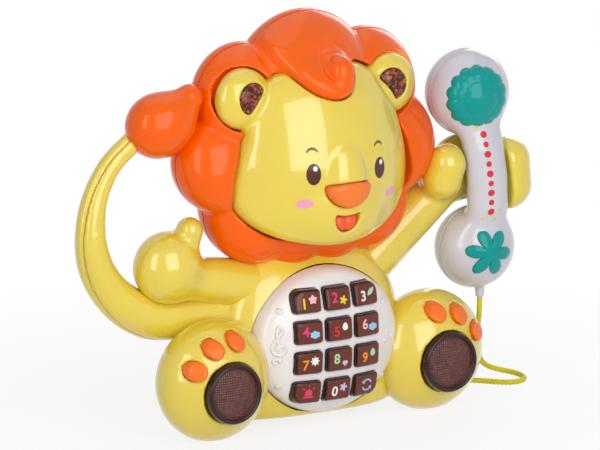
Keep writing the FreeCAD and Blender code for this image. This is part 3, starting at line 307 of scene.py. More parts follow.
def painted_sparkle(name, dark, light, scale):
    """Clear plastic with painted sparkle: random cells in a lighter colour stand for facets catching a lamp.
    """
    mat = plastic(name, dark, rough=0.14, vary=0.1, coat=0.4)
    tree, link = mat.node_tree, mat.node_tree.links.new
    facets = add_node(tree, "TexVoronoi", Scale=scale)
    link(add_node(tree, "TexCoord").outputs["Object"], facets.inputs["Vector"])
    split = add_node(tree, "SeparateColor")
    link(facets.outputs["Color"], split.inputs["Color"])
    ramp = add_node(tree, "ValToRGB")
    for end, place, colour in zip(ramp.color_ramp.elements, (0.45, 0.95), (dark, light)):
        end.position = place
        end.color = colour
    link(split.outputs["Red"], ramp.inputs["Fac"])
    link(ramp.outputs["Color"], tree.nodes["Principled BSDF"].inputs["Base Color"])
    return mat


# Each plastic's colour in eight-bit values, and where it differs from plain plastic
PLASTICS = {
    "yellow_shell": ((230, 205, 66), dict(coat=0.9, tint=0.0)),
    "orange_shell": ((246, 98, 0), dict(tint=0.92)),
    "nose_orange": ((246, 126, 52), dict(coat=0.25, tint=0.8)),
    "tongue_red": ((238, 92, 40), dict(rough=0.3)),
    "panel_white": ((236, 231, 231), dict(rough=0.25)),
    "handset_grey": ((206, 204, 213), dict(rough=0.18, coat=0.6)),
    "teal": ((0, 150, 145), dict(rough=0.18, coat=0.3, tint=0.9)),
    "toe_orange": ((250, 122, 40), dict(rough=0.25, coat=0.25, tint=0.8)),
    "brown_clear": ((104, 44, 28), dict(rough=0.16, vary=0.12, coat=0.3)),
    # A darker brown for the pads' rims, also used as painted shade on the keys' sides
    "brown_rim_and_painted_side_shade": ((48, 20, 16), dict(rough=0.16, vary=0.12, coat=0.3)),
    "cord_yellow": ((222, 208, 30), dict(rough=0.45, coat=0.05)),
    "membrane_rubber": ((120, 120, 122), dict(rough=0.6, coat=0.0)),
    "board_green": ((40, 110, 60), dict(rough=0.4)),
    "screw_steel": ((190, 190, 190), dict(rough=0.3)),
    "battery_wrap": ((60, 60, 64), dict(rough=0.3)),
    "inner_black": ((30, 30, 32), dict(rough=0.45)),
    "speaker_paper": ((50, 50, 52), dict(rough=0.7)),
    "lamp_amber": ((255, 150, 60), dict()),
    "print_eye": ((78, 34, 28), dict(rough=0.22, vary=0.15)),
    "print_white": ((248, 246, 242), dict(rough=0.3)),
}
INKS = {
    "brown": (112, 84, 34), "pink": (240, 160, 190), "red": (214, 44, 44), "lemon": (232, 206, 50),
    "blue": (150, 200, 232), "rose": (246, 190, 196), "magenta": (224, 60, 110), "mint": (176, 218, 176),
    "lilac": (206, 190, 226), "orange": (246, 150, 50),
}
LOOKS = {name: plastic(name, srgb(*rgb), **more) for name, (rgb, more) in PLASTICS.items()}
LOOKS.update({"print_" + ink: plastic("print_" + ink, srgb(*rgb), rough=0.35) for ink, rgb in INKS.items()})
# Painted sparkle on the pads and ear lenses: lighter cells in the base colour paint facets catching a lamp
LOOKS["brown_facets_painted_sparkle"] = painted_sparkle("brown_facets_painted_sparkle", srgb(80, 34, 28), srgb(106, 48, 38), scale=700.0)
LOOKS["ear_facets_painted_sparkle"] = painted_sparkle("ear_facets_painted_sparkle", srgb(54, 22, 20), srgb(196, 80, 30), scale=640.0)
set_sockets(LOOKS["screw_steel"].node_tree.nodes["Principled BSDF"], Metallic=1.0)
for part in frame["record"]["subparts"]:
    materials = frame["nodes"][part["node"]].data.materials
    materials.clear()
    materials.append(LOOKS[part["material_slot"]])


# Pieces
def place_object(name, data):
    obj = bpy.data.objects.new(name, data)
    bpy.context.scene.collection.objects.link(obj)
    return obj


def new_object(name, verts, faces, body, slot, nodes=(), look=None, smooth=True, sides=None, choose=None):
    """A mesh piece from points in millimetres, riding on a body, in the look named or else its slot's.

    Faces that choose() picks, from their normal and middle, get the look named as sides.
    """
    mesh = bpy.data.meshes.new(name)
    mesh.from_pydata((np.asarray(verts) * MM).tolist(), [], [list(map(int, face)) for face in faces])
    mesh.validate()
    whole = bmesh.new()
    whole.from_mesh(mesh)
    bmesh.ops.recalc_face_normals(whole, faces=whole.faces)
    whole.to_mesh(mesh)
    whole.free()
    mesh.update()
    if smooth:
        mesh.shade_smooth()
    obj = place_object(name, mesh)
    mesh.materials.append(LOOKS[look or slot])
    if sides:
        mesh.materials.append(LOOKS[sides])
        for face in mesh.polygons:
            face.material_index = int(choose(face.normal, face.center / MM))
    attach(obj, body)
    if nodes:
        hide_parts(*nodes)
    return obj


surfaces = {}


def one_piece(name, form, space, slot, nodes, body="base", step=STEP, rounds=0, **more):
    """The skin of a form as a piece, kept with its body as a surface for prints."""
    verts, faces = skin(form, space, step)
    verts = soften(verts, faces, rounds)
    tree = BVHTree.FromPolygons([tuple(v) for v in verts], [list(map(int, f)) for f in faces])
    surfaces[name] = (tree, body)
    new_object(name, verts, faces, body, slot, nodes, **more)


def front_half(f, p, seam):
    return smooth_max(f, p[:, 1] - seam + SEAM_GAP, EDGE)


def back_half(f, p, seam):
    return smooth_max(f, seam + SEAM_GAP - p[:, 1], EDGE)


def mesh_parts(mesh, weld):
    """Points and faces of a mesh, welded."""
    whole = bmesh.new()
    whole.from_mesh(mesh)
    bmesh.ops.remove_doubles(whole, verts=whole.verts, dist=weld)
    whole.verts.index_update()
    verts = np.array([v.co for v in whole.verts])
    faces = [[v.index for v in face.verts] for face in whole.faces]
    whole.free()
    return verts, faces


# Head: the outline of the face and the two ears
FACE_LOOP = [
    (0.0, 114.6), (23.0, 116.0), (40.0, 121.0), (55.0, 131.0), (63.0, 145.0), (60.5, 163.0),
    (55.0, 180.0), (51.0, 196.0), (40.0, 211.0), (23.0, 219.5), (0.0, 222.0),
]
face_line = Outline(spline_loop(FACE_LOOP + [(-x, z) for x, z in reversed(FACE_LOOP[1:-1])]))
HEAD_Z = 165.0
EAR = ((52.5, -18.0, 203.8), 18.6, 11.5, 6.5)
EAR_SHIFT = (2.0, 2.0)


def ear_space(p):
    """Points as the left ear's mirror sees them; the right ear sits a little lower and nearer."""
    q = p.copy()
    right = p[:, 0] > 0
    q[:, 0] = np.abs(p[:, 0]) + np.where(right, EAR_SHIFT[0], 0)
    q[:, 2] += np.where(right, EAR_SHIFT[1], 0)
    return q


def ear_bun(p):
    return bun(ear_space(p), *EAR)


def ear_flat(p):
    q = ear_space(p)
    (x, _, z), radius = EAR[:2]
    return np.hypot(q[:, 0] - x, q[:, 2] - z) - radius


# Forelock: a puffed tongue over the brow, with a curl at its tip
LOCK_LOOP = [
    (-32, 236), (-29, 224), (-23, 214.5), (-14.5, 206), (-6, 201.3), (2, 200), (9.5, 202.4), (14.5, 208),
    (16.6, 214.5), (18.5, 221), (15, 229), (6, 237), (-12, 242),
]
lock_line = Outline(spline_loop(LOCK_LOOP))
LOCK_PUFF = 11.0
LOCK_HEIGHTS = (198, 206, 212, 220, 230, 242)
LOCK_DEPTHS = (-37, -35, -31.5, -24.5, -14.5, -6)
LOCK_CURL = ((5.5, -34.5, 215), (9.5, 10.5, 12))
LOCK_REACH = (30, -12, 205)
SWIRL = spline_open(
    [(4.5, 230.2), (-1, 229.4), (-3.4, 226), (-4.6, 221.5), (-4.6, 217.5), (-2.2, 213.8)], per=4
)
LOCK_VALLEY = spline_open([(6, 233.5), (12, 229.5), (18.5, 223)], per=4)


def forelock(p):
    x, y, z = p.T
    middle = np.interp(z, LOCK_HEIGHTS, LOCK_DEPTHS)
    return np.hypot(np.maximum(lock_line(x, z) + LOCK_PUFF, 0), y - middle) - LOCK_PUFF


def groove(p, line, wide, deep):
    """How far a soft groove along a line in X, Z sinks a surface."""
    flat = np.stack([p[:, 0], np.zeros(len(p)), p[:, 2]], 1)
    near = np.full(len(p), FAR)
    for (x0, z0), (x1, z1) in zip(line, line[1:]):
        near = np.minimum(near, rod(flat, (x0, 0, z0), (x1, 0, z1), 0.0, 0.0))
    return deep * np.exp(-(near / wide) ** 2)


# Mane: a ring of puffed lobes between valleys
VALLEYS = [(36.0, 234.0), (75.0, 192.5), (71.5, 136.5), (29.5, 103.0), (0.0, 101.0)]
RISES = [17.0, 17.7, 13.0, 4.0]
TOP_RISE = 16.6
LOBE_BLEND = 2.5
MANE_CORE = 62.0
MANE_LEAN = 0.3
MANE_MID_Y = -2.0
MANE_CUT = -3.15
MANE_BACK_DEPTH = 19.0
PUFF = 24.0
FACE_GAP = 0.8
FACE_SEAT = -11.0


def lobe(start, end, rise):
    """Centre and radius of the circle through two valleys with that rise."""
    a, b = np.array(start), np.array(end)
    run = b - a
    half = np.linalg.norm(run) / 2
    out = np.array([-run[1], run[0]]) / (2 * half)
    radius = (half**2 + rise**2) / (2 * rise)
    centre = (a + b) / 2 + out * (rise - radius)
    return centre[0], centre[1], radius


def mane_lobes():
    top_x, top_z = VALLEYS[0]
    lobes = [lobe((-top_x, top_z), (top_x, top_z), TOP_RISE)]
    for start, end, rise in zip(VALLEYS, VALLEYS[1:], RISES):
        x, z, radius = lobe(start, end, rise)
        lobes += [(x, z, radius), (-x, z, radius)]
    return lobes


LOBES = mane_lobes()


def mane_puff(p):
    x, y, z = p.T
    lean = z + MANE_LEAN * np.maximum(-y, 0)
    d = np.hypot(x, lean - HEAD_Z) - MANE_CORE
    for cx, cz, radius in LOBES:
        d = smooth_min(d, np.hypot(x - cx, lean - cz) - radius, LOBE_BLEND)
    deep = (y - MANE_MID_Y) / np.where(y < MANE_MID_Y, PUFF, MANE_BACK_DEPTH)
    return np.hypot(np.maximum(d + PUFF, 0), PUFF * deep) - PUFF


def mane_front(p):
    x, y, z = p.T
    seat = np.minimum(face_line(x, z), ear_flat(p)) - FACE_GAP
    f = cut(mane_puff(p), np.maximum(seat, y - FACE_SEAT), soft=1.2)
    f = smooth_min(f, forelock(p), soft=7.0)
    f = smooth_min(f, oval(p, *LOCK_CURL), soft=3.0)
    near = (np.abs(x) < LOCK_REACH[0]) & (y < LOCK_REACH[1]) & (z > LOCK_REACH[2])
    f[near] += groove(p[near], SWIRL, wide=1.1, deep=1.9) + groove(p[near], LOCK_VALLEY, wide=1.8, deep=1.0)
    return smooth_max(f, y - MANE_CUT, EDGE)


# Face: a domed shield with ears, a nose bridge, a muzzle and a mouth
FACE_BALL = ((0, 25, 155), (78, 78, 92))
FACE_BACK = -12.0
BRIDGE = ((0, -45.5, 152.5), (16.0, 13.0, 26.0))
BRIDGE_FOOT = 149.0
MUZZLE = ((0, -38.5, 134), (27, 13.5, 17))
MOUTH = dict(middle=132.5, half=(8.8, 10.0), scale=9.0, top=133.0, curve=0.018, soft=2.0)
MOUTH_FLOOR = -44.0
NOSE = dict(middle=151.0, half=(15.0, 12.6), scale=13.0, top=153.8, curve=-0.008, soft=2.2)
NOSE_BALL = ((0, -40, 150.5), (25, 20.6, 27))
NOSE_SEAT = -47.0
NOSE_BACK = -48.0
NOSE_GAP = 0.35
LENS = (50.6, 205.0, 9.4)
LENS_ARC = 61.2
LENS_GAP = 0.3
LENS_SEAT = -16.0
LENS_BACK = -18.0
LOCK_GAP = 0.6
TONGUE_LOBE = ((3.7, -46.2, 128), (6.2, 5.6, 7.0))
TONGUE_ROOT = ((0, -45, 130), (8.2, 4.0, 3.6))
TONGUE_GAP = 0.5


def half_moon(x, z, middle, half, scale, top, curve, soft):
    """A flat oval under a curved upper line."""
    round_part = (np.hypot(x / half[0], (z - middle) / half[1]) - 1) * scale
    return smooth_max(round_part, z - top - curve * x**2, soft)


def lens_flat(p):
    q = ear_space(p)
    ball = np.hypot(q[:, 0] - LENS[0], q[:, 2] - LENS[1]) - LENS[2]
    return smooth_max(ball, LENS_ARC - np.hypot(q[:, 0], q[:, 2] - HEAD_Z), soft=2.0)


def face_form(p):
    f = smooth_max(oval(p, *FACE_BALL), face_line(p[:, 0], p[:, 2]), soft=5.0)
    bridge = smooth_max(oval(p, *BRIDGE), BRIDGE_FOOT - p[:, 2], soft=1.0)
    f = smooth_min(f, bridge, soft=1.6)
    f = smooth_min(f, oval(p, *MUZZLE), soft=10.0)
    return smooth_min(f, ear_bun(p), soft=2.2)


def face_shell(p):
    x, y, z = p.T
    f = cut(face_form(p), np.maximum(lens_flat(p) - LENS_GAP, y - LENS_SEAT), soft=1.2)
    f = cut(f, np.maximum(half_moon(x, z, **MOUTH), y - MOUTH_FLOOR), soft=1.0)
    f = cut(f, np.maximum(half_moon(x, z, **NOSE) - NOSE_GAP, y - NOSE_SEAT), soft=0.8)
    f = cut(f, forelock(p) - LOCK_GAP, soft=0.8)
    return smooth_max(f, y - FACE_BACK, soft=0.5)


def lens_form(p):
    return np.maximum(smooth_max(lens_flat(p), ear_bun(p) + LENS_GAP, soft=1.0), p[:, 1] - LENS_BACK)


def nose_form(p):
    x, y, z = p.T
    f = smooth_max(half_moon(x, z, **NOSE), oval(p, *NOSE_BALL), soft=3.0)
    return smooth_max(f, y - NOSE_BACK, soft=0.5)


def tongue_form(p):
    x, y, z = p.T
    both = np.stack([np.abs(x), y, z], 1)
    lobes = smooth_min(oval(both, *TONGUE_LOBE), oval(p, *TONGUE_ROOT), soft=1.0)
    return smooth_max(lobes, half_moon(x, z, **MOUTH) + TONGUE_GAP, soft=0.8)


# Handset: two cups on a bowed grip, with a gland for the cord
EARPIECE = ((112.2, -12.0, 188.7), 26.6, 24.5, 20.0)
MOUTHPIECE = ((118.0, -12.0, 92.6), 25.5, 22.5, 18.0)
GRIP = np.array([
    (118.4, -17, 96), (118.6, -20.5, 104), (118.4, -25.6, 120), (117, -27, 138), (115, -25.6, 157),
    (112.6, -20.5, 176), (112, -18, 184),
], float)
GRIP_HALF = (13.4, 9.8)
GRIP_MIDDLE = 140.0
GRIP_REACH = 44.0
FLARE_MIDDLE = 139.0
FLARE_SPAN = (12.0, 34.0)
FLARE_RISE = 1.3
GLAND = ((119.5, -15.6, 74.0), (119.5, -15.6, 63.0), 3.4, 2.6)
HANDSET_CUTS = (-12.15, -11.85)
CUP_SPACES = {
    "ear_cup": ("earpiece_cap", ((80, -14, 158), (148, 16, 220))),
    "mouth_cup": ("mouthpiece_cap", ((80, -14, 62), (148, 16, 122))),
}
SOUND_HOLES = 6
SOUND_RING = 8.0


def grip_x(z):
    return np.interp(z, GRIP[:, 2], GRIP[:, 0])


def grip_form(p, swept=False):
    """The grip, or the room that it sweeps when it leaves the paw."""
    x, y, z = p.T
    off = y - np.interp(z, GRIP[:, 2], GRIP[:, 1])
    if swept:
        off = np.maximum(off, 0)
    wide = GRIP_HALF[0] + FLARE_RISE * np.interp(np.abs(z - FLARE_MIDDLE), FLARE_SPAN, (0, 1)) ** 2
    f = (np.hypot((x - grip_x(z)) / wide, off / GRIP_HALF[1]) - 1) * GRIP_HALF[1]
    return np.maximum(f, np.abs(z - GRIP_MIDDLE) - GRIP_REACH)


def cups(p):
    return np.minimum(bun(p, *EARPIECE), bun(p, *MOUTHPIECE))


def handset_front(p):
    f = smooth_min(cups(p), grip_form(p), soft=5.0)
    f = smooth_min(f, rod(p, *GLAND), soft=1.5)
    return smooth_max(f, p[:, 1] - HANDSET_CUTS[0], EDGE)


def handset_back(p):
    f = smooth_max(cups(p), HANDSET_CUTS[1] - p[:, 1], EDGE)
    for (x, _, z), *_ in (EARPIECE, MOUTHPIECE):
        for a in 2 * math.pi / SOUND_HOLES * np.arange(SOUND_HOLES):
            hx, hz = x + SOUND_RING * math.cos(a), z + SOUND_RING * math.sin(a)
            f = cut(f, bore(p, hx, hz, radius=1.5, front=6.0, back=40.0), soft=0.3)
    return f


# Arms: a rod each, with a paw as a bun and its thumb and fingers as rods
LEFT_ARM = ((-92, -7, 98), (-34, -4, 86), 13.0, 15.5)
LEFT_PAW = ((-99, -8, 105), 22.0, 18.0, 14.0)
LEFT_THUMB = ((-88, -10, 118), (-86, -11.5, 126.5), 8.4, 8.2)
RIGHT_ARM = ((34, -2, 80), (104, -2, 135), 16.0, 13.5)
RIGHT_PAW = ((114, -1, 139.9), 20.6, 12.0, 7.0)
RIGHT_THUMB = ((90.5, -17, 138.5), (92.5, -20, 148), 12.6, 12.0)
RIGHT_FINGERS = ((136.5, -19, 130), (136.5, -19, 145), 15.2, 14.2)
GRIP_GAP = 0.9


def arm_left(p):
    f = smooth_min(rod(p, *LEFT_ARM), bun(p, *LEFT_PAW), soft=6.0)
    return smooth_min(f, rod(p, *LEFT_THUMB), soft=2.5)


def arm_right(p):
    f = smooth_min(rod(p, *RIGHT_ARM), bun(p, *RIGHT_PAW), soft=7.0)
    f = smooth_min(f, rod(p, *RIGHT_THUMB), soft=5.0)
    f = smooth_min(f, rod(p, *RIGHT_FINGERS), soft=5.0)
    return cut(f, grip_form(p, swept=True) - GRIP_GAP, soft=1.5)


# Tail: a tapering loop through stops of (x, z, radius), and a tuft
TAIL_LINE = [
    (-50, 72, 14), (-96.6, 72.5, 14), (-117, 79, 13.4), (-132.3, 91, 12.2), (-142.6, 106, 11.2),
    (-146.8, 120, 10.2), (-147.4, 134, 9.1), (-145.2, 147.5, 8.2), (-139.6, 160.5, 7.5), (-130.4, 172.4, 7.1),
    (-112, 186, 6.9),
]
TAIL_Y = 1.0
TAIL_STOPS = spline_open(TAIL_LINE, per=12)
TUFT_BALL = ((-102.5, -4, 191), (21.5, 17, 20))
TUFT_POINT = ((-92, -6, 196.5), (-83.5, -8, 206.5), 12, 8.2)


def tail_form(p):
    whole = np.full(len(p), FAR)
    for (x0, z0, r0), (x1, z1, r1) in zip(TAIL_STOPS, TAIL_STOPS[1:]):
        whole = np.minimum(whole, rod(p, (x0, TAIL_Y, z0), (x1, TAIL_Y, z1), r0, r1))
    return whole


def tail_tip(p):
    return smooth_min(oval(p, *TUFT_BALL), rod(p, *TUFT_POINT), soft=9.0)


def limb(name, form, space, screw, rounds=0):
    """Front and back shells of one yellow limb, with the seam and a screw hole."""

    def front(p):
        return front_half(form(p), p, SEAM)

    def back(p):
        hole = bore(p, *screw, radius=3.2, front=0.0, back=60.0)
        return cut(back_half(form(p), p, SEAM), hole, soft=0.5)

    for half, field in (("front", front), ("back", back)):
        one_piece(name + "_shell_" + half, field, space, "yellow_shell", [name + "_" + half], rounds=rounds)


# Feet: each a bun with a round pad and three toes
FOOT = ((76.5, -22.0, 36.0), 37.0, 27.0, 18.0)
FOOT_CUT = -14.0
PAD_PLACE = (77.0, 32.5)
TOES = [(71.7, 62.6), (87.6, 59.6), (100.2, 47.6)]
TOE_HALF = (5.5, 5.9)
TOE_PROUD = 3.4
TOE_GAP = 0.2
TOE_HOLE_FLOOR = -24.0
TOE_BACK = -27.0


def toe_flat(x, z, place):
    """An oval with one axis along the line to the middle of the pad."""
    turn = math.atan2(place[1] - PAD_PLACE[1], place[0] - PAD_PLACE[0])
    along = (x - place[0]) * math.cos(turn) + (z - place[1]) * math.sin(turn)
    across = (z - place[1]) * math.cos(turn) - (x - place[0]) * math.sin(turn)
    return (np.hypot(along / TOE_HALF[0], across / TOE_HALF[1]) - 1) * TOE_HALF[1]


def foot_pieces(side, label):
    """One foot's two shells, its toes and its pad."""

    def turned(p):
        return p * np.array((side, 1, 1))

    def form(p):
        return smooth_max(bun(turned(p), *FOOT), -p[:, 2], soft=1.0)

    def front(p):
        q = turned(p)
        hole = bore(q, *PAD_PLACE, radius=19.1, front=-80.0, back=-41.0)
        f = cut(front_half(form(p), p, FOOT_CUT), hole, soft=0.6)
        for place in TOES:
            hole = np.maximum(toe_flat(q[:, 0], q[:, 2], place) - TOE_GAP, q[:, 1] - TOE_HOLE_FLOOR)
            f = cut(f, hole, soft=0.4)
        return f

    def back(p):
        return back_half(form(p), p, FOOT_CUT)

    space = mirrored(((37.0, -52, -3), (116.0, 8, 76)), side)
    for half, field in (("front", front), ("back", back)):
        place = "%s_%s" % (label, half)
        one_piece("foot_shell_" + place, field, space, "yellow_shell", ["foot_" + place])
    for number, place in enumerate(TOES, 1):
        def toe(p, place=place):
            q = turned(p)
            f = smooth_max(toe_flat(q[:, 0], q[:, 2], place), bun(q, *FOOT) - TOE_PROUD, soft=2.4)
            return np.maximum(f, q[:, 1] - TOE_BACK)

        node = "toe_%s_%d" % (label, number)
        space = space_at(side * place[0], place[1], half=(10, 10), depths=(-54, -25))
        one_piece("toe_cap_%s_%d" % (label, number), toe, space, "toe_orange", [node], body=node + "_body",
                  step=FINE_STEP)
    pad_cap(side, label)


# Pads: a raised rim, given as rings of (radius, y), round a field of small facets
PAD_DISC = 15.2
PAD_FRONT = -48.9
PAD_DISH = 1.0
PAD_GRID = 96
PAD_RINGS = [
    (15.5, -48.2), (15.8, -49.1), (16.4, -49.7), (17.1, -49.8), (17.9, -49.4), (18.4, -48.6), (18.6, -47.5),
    (18.6, -38.0),
]
FACET = 1.5
FACET_RISE = 0.55
FACET_FADE = 1.5


def disc_grid(count):
    """A square grid pressed round: points of a unit disc, quads and the loop of its edge."""
    line = np.linspace(-1, 1, count)
    a, b = np.meshgrid(line, line, indexing="ij")
    big = np.maximum(np.abs(a), np.abs(b))
    scale = np.where(big > 0, big / np.maximum(np.hypot(a, b), TINY), 0)
    flat = np.stack([(a * scale).ravel(), (b * scale).ravel()], 1)
    number = np.arange(count * count).reshape(count, count)
    quads = np.stack([number[:-1, :-1], number[1:, :-1], number[1:, 1:], number[:-1, 1:]], -1).reshape(-1, 4)
    loop = np.concatenate([number[:-1, 0], number[-1, :-1], number[:0:-1, -1], number[0, :0:-1]])
    return flat, quads, loop


def turned_skirt(verts, loop, flat, rings):
    """Rings of (radius, place of a point) that carry on from the edge of a disc, and a last cap."""
    faces = []
    verts = list(map(tuple, verts))
    last = list(loop)
    for radius, place in rings:
        start = len(verts)
        verts += [place(radius, flat[i] / np.hypot(*flat[i])) for i in loop]
        now = list(range(start, len(verts)))
        for k in range(len(loop)):
            m = (k + 1) % len(loop)
            faces.append((last[k], last[m], now[m], now[k]))
        last = now
    faces.append(last)
    return verts, faces


def pad_cap(side, label):
    flat, quads, loop = disc_grid(PAD_GRID)
    x, z = PAD_PLACE[0] * side, PAD_PLACE[1]
    a, b = flat[:, 0] * PAD_DISC, flat[:, 1] * PAD_DISC
    off = np.hypot(a, b)
    facet = np.abs((a / FACET) % 1 - 0.5) + np.abs((b / FACET) % 1 - 0.5)
    fade = np.clip((PAD_DISC - off) / FACET_FADE, 0, 1)
    deep = PAD_FRONT + PAD_DISH * (off / PAD_DISC) ** 2 - FACET_RISE * facet * fade
    rings = [(r, lambda radius, u, y=y: (x + u[0] * radius, y, z + u[1] * radius)) for r, y in PAD_RINGS]
    verts, faces = turned_skirt(np.stack([x + a, deep, z + b], 1), loop, flat, rings)
    node = "paw_pad_" + label
    new_object("pad_" + label, verts, quads.tolist() + faces, node + "_body", "brown_clear", [node],
               look="brown_facets_painted_sparkle", sides="brown_rim_and_painted_side_shade",
               choose=lambda n, c: math.hypot(c.x - x, c.z - z) > PAD_DISC)


# Belly panel: an oval dome, given as depths at insets from its edge, and twelve keys
PANEL_Z = 52.5
PANEL_HALF = (50.75, 44.75)
PANEL_SPAN = 46.0
PANEL_INSETS = [0.0, 0.3, 2.2, 7.0, 15.0, 26.0, 38.0, 46.0]
PANEL_DEPTHS = [-17.4, -25.0, -31.0, -35.5, -38.8, -41.0, -42.0, -42.2]
PANEL_FIT = np.polyfit(np.sqrt(PANEL_INSETS), PANEL_DEPTHS, 5)
PANEL_SLOPE = 0.7
PANEL_BACK = -22.0
KEYS = ["1", "2", "3", "4", "5", "6", "7", "8", "9", "star", "0", "hash"]
KEY_PITCH = (20.8, 18.6)
KEY_HALF = (8.9, 6.9)
KEY_CORNER = 2.0
OUTER_CORNER = 6.5
KEY_GAP = 0.2
KEY_FRONT = -45.6
KEY_BACK = -30.0
KEY_BALL = 150.0
# Key faces whose normal Y is above this are the sides, given the darker brown as painted shade
KEY_SHADE_FACING = -0.8


def key_place(index):
    row, column = divmod(index, 3)
    return (column - 1) * KEY_PITCH[0], PANEL_Z + (1.5 - row) * KEY_PITCH[1]


def key_flat(index, x, z):
    """A rounded oblong, with a larger corner where the key is at a corner of the panel."""
    row, column = divmod(index, 3)
    cx, cz = key_place(index)
    dx, dz = x - cx, z - cz
    outer = np.where(dx > 0, column == 2, column == 0) & np.where(dz > 0, row == 0, row == 3)
    r = np.where(outer, OUTER_CORNER, KEY_CORNER)
    qx, qz = np.abs(dx) - KEY_HALF[0] + r, np.abs(dz) - KEY_HALF[1] + r
    return np.minimum(np.maximum(qx, qz), 0) + np.hypot(np.maximum(qx, 0), np.maximum(qz, 0)) - r


def panel_form(p):
    x, y, z = p.T
    edge = (np.hypot(x / PANEL_HALF[0], (z - PANEL_Z) / PANEL_HALF[1]) - 1) * PANEL_SPAN
    dome = np.polyval(PANEL_FIT, np.sqrt(np.clip(-edge, 0, None))) - y
    f = smooth_max(PANEL_SLOPE * dome, edge, soft=0.8)
    for index in range(len(KEYS)):
        f = cut(f, key_flat(index, x, z) - KEY_GAP, soft=0.4)
    return np.maximum(f, y - PANEL_BACK)


def key_form(index):
    middle = np.array((0, KEY_FRONT + KEY_BALL, PANEL_Z))

    def field(p):
        x, y, z = p.T
        front = np.linalg.norm(p - middle, axis=1) - KEY_BALL
        return np.maximum(smooth_max(key_flat(index, x, z), front, soft=2.4), y - KEY_BACK)

    return field


# Torso: the CAD shells with their lower edge drawn up towards the front, as the photograph shows it
HEM_START = 12.0
HEM_SLOPE = 0.21
HEM_REACH = 12.0
HEM_DEPTH = 30.0
HEM_POWER = 1.5
TORSO_SHARP = math.radians(35)


def torso_shell(half):
    verts, faces = mesh_parts(frame["nodes"]["torso_" + half].data, weld=1e-6)
    verts = verts / MM
    low = np.clip(1 - verts[:, 2] / HEM_REACH, 0, 1)
    verts[:, 2] += HEM_SLOPE * np.clip(HEM_START - verts[:, 1], 0, HEM_DEPTH) * low**HEM_POWER
    obj = new_object("torso_shell_" + half, verts, faces, "base", "yellow_shell", ["torso_" + half])
    obj.data.set_sharp_from_angle(angle=TORSO_SHARP)


SIDES = ((-1, "left"), (1, "right"))
torso_shell("front")
torso_shell("back")
one_piece("mane_front_shell", mane_front, ((-95, -52, 88), (95, -1, 255)), "orange_shell", ["mane_front"],
          rounds=1)
one_piece("face", face_shell, ((-76, -64, 106), (76, -8, 230)), "yellow_shell", ["face_shell"])
for side, label in SIDES:
    one_piece("ear_glass_" + label, lens_form, mirrored(((38.0, -32, 192), (63.0, -16, 218)), side),
              "brown_clear", ["ear_lens_" + label], step=FINE_STEP, look="ear_facets_painted_sparkle")
one_piece("nose_bead", nose_form, ((-19, -64, 134), (19, -46, 157)), "nose_orange", ["nose"], step=0.6)
one_piece("tongue_lobes", tongue_form, ((-11, -54, 119), (11, -40, 137)), "tongue_red", ["tongue"], step=0.5)
limb("arm_left", arm_left, ((-125, -30, 66), (-15, 14, 138)), screw=(-99, 104))
limb("arm_right", arm_right, ((14, -40, 60), (156, 16, 166)), screw=(84, 120))
limb("tail", tail_form, ((-162, -16, 54), (-42, 18, 198)), screw=(-140, 100), rounds=12)
for side, label in SIDES:
    foot_pieces(side, label)
one_piece("panel", panel_form, ((-53, -44, 6), (53, -20, 99)), "panel_white", ["belly_panel"], step=0.9)
for index, label in enumerate(KEYS):
    space = space_at(*key_place(index), half=(11, 9), depths=(-50, -28))
    node = "key_" + label
    # The keys' sides, faces not turned to the front, take the darker brown: painted shade
    one_piece("key_cap_" + label, key_form(index), space, "brown_clear", [node], body=node + "_body",
              step=FINE_STEP, sides="brown_rim_and_painted_side_shade", choose=lambda n, c: n.y > KEY_SHADE_FACING)
one_piece("tail_tuft", tail_tip, ((-128, -26, 168), (-70, 18, 220)), "orange_shell", ["tail_tip"])
one_piece("handset_shell", handset_front, ((80, -42, 58), (148, -10, 220)), "handset_grey", ["handset_front"],
          body="handset")
for label, (node, space) in CUP_SPACES.items():
    one_piece(label, handset_back, space, "handset_grey", [node], body="handset", step=0.8)

# Prints: thin closed bodies laid on a surface along +Y
SKY_Y = -120.0
FIGURE_OFFSET = 0.02


def surface_y(surface, x, z):
    return surfaces[surface][0].ray_cast(Vector((x, SKY_Y, z)), Vector((0, 1, 0)))[0].y


def blob(radius_at, rings=3, count=60, stretch=(1.0, 1.0)):
    """A flat shape given by its radius at each angle."""
    verts = [(0.0, 0.0)]
    faces = []
    for ring in range(1, rings + 1):
        for i in range(count):
            a = 2 * math.pi * i / count
            r = radius_at(a) * ring / rings
            verts.append((r * math.cos(a) * stretch[0], r * math.sin(a) * stretch[1]))
    for i in range(count):
        j = (i + 1) % count
        faces.append((0, 1 + i, 1 + j))
        for ring in range(rings - 1):
            k = 1 + ring * count
            faces.append((k + i, k + count + i, k + count + j, k + j))
    return np.array(verts), faces


def disc(radius, stretch=(1.0, 1.0), rings=3):
    return blob(lambda a: radius, rings, count=40, stretch=stretch)


def strip(line, width):
    """A flat band along a line of points."""
    line = np.array(line, float)
    ahead = np.gradient(line, axis=0)
    ahead /= np.linalg.norm(ahead, axis=1, keepdims=True)
    side = np.stack([-ahead[:, 1], ahead[:, 0]], 1) * np.broadcast_to(width, len(line))[:, None] / 2
    n = len(line)
    return np.concatenate([line - side, line + side]), [(i, i + 1, n + i + 1, n + i) for i in range(n - 1)]


def arc(radius, start, end, count):
    turns = np.radians(np.linspace(start, end, count))
    return np.stack([radius * np.cos(turns), radius * np.sin(turns)], 1)


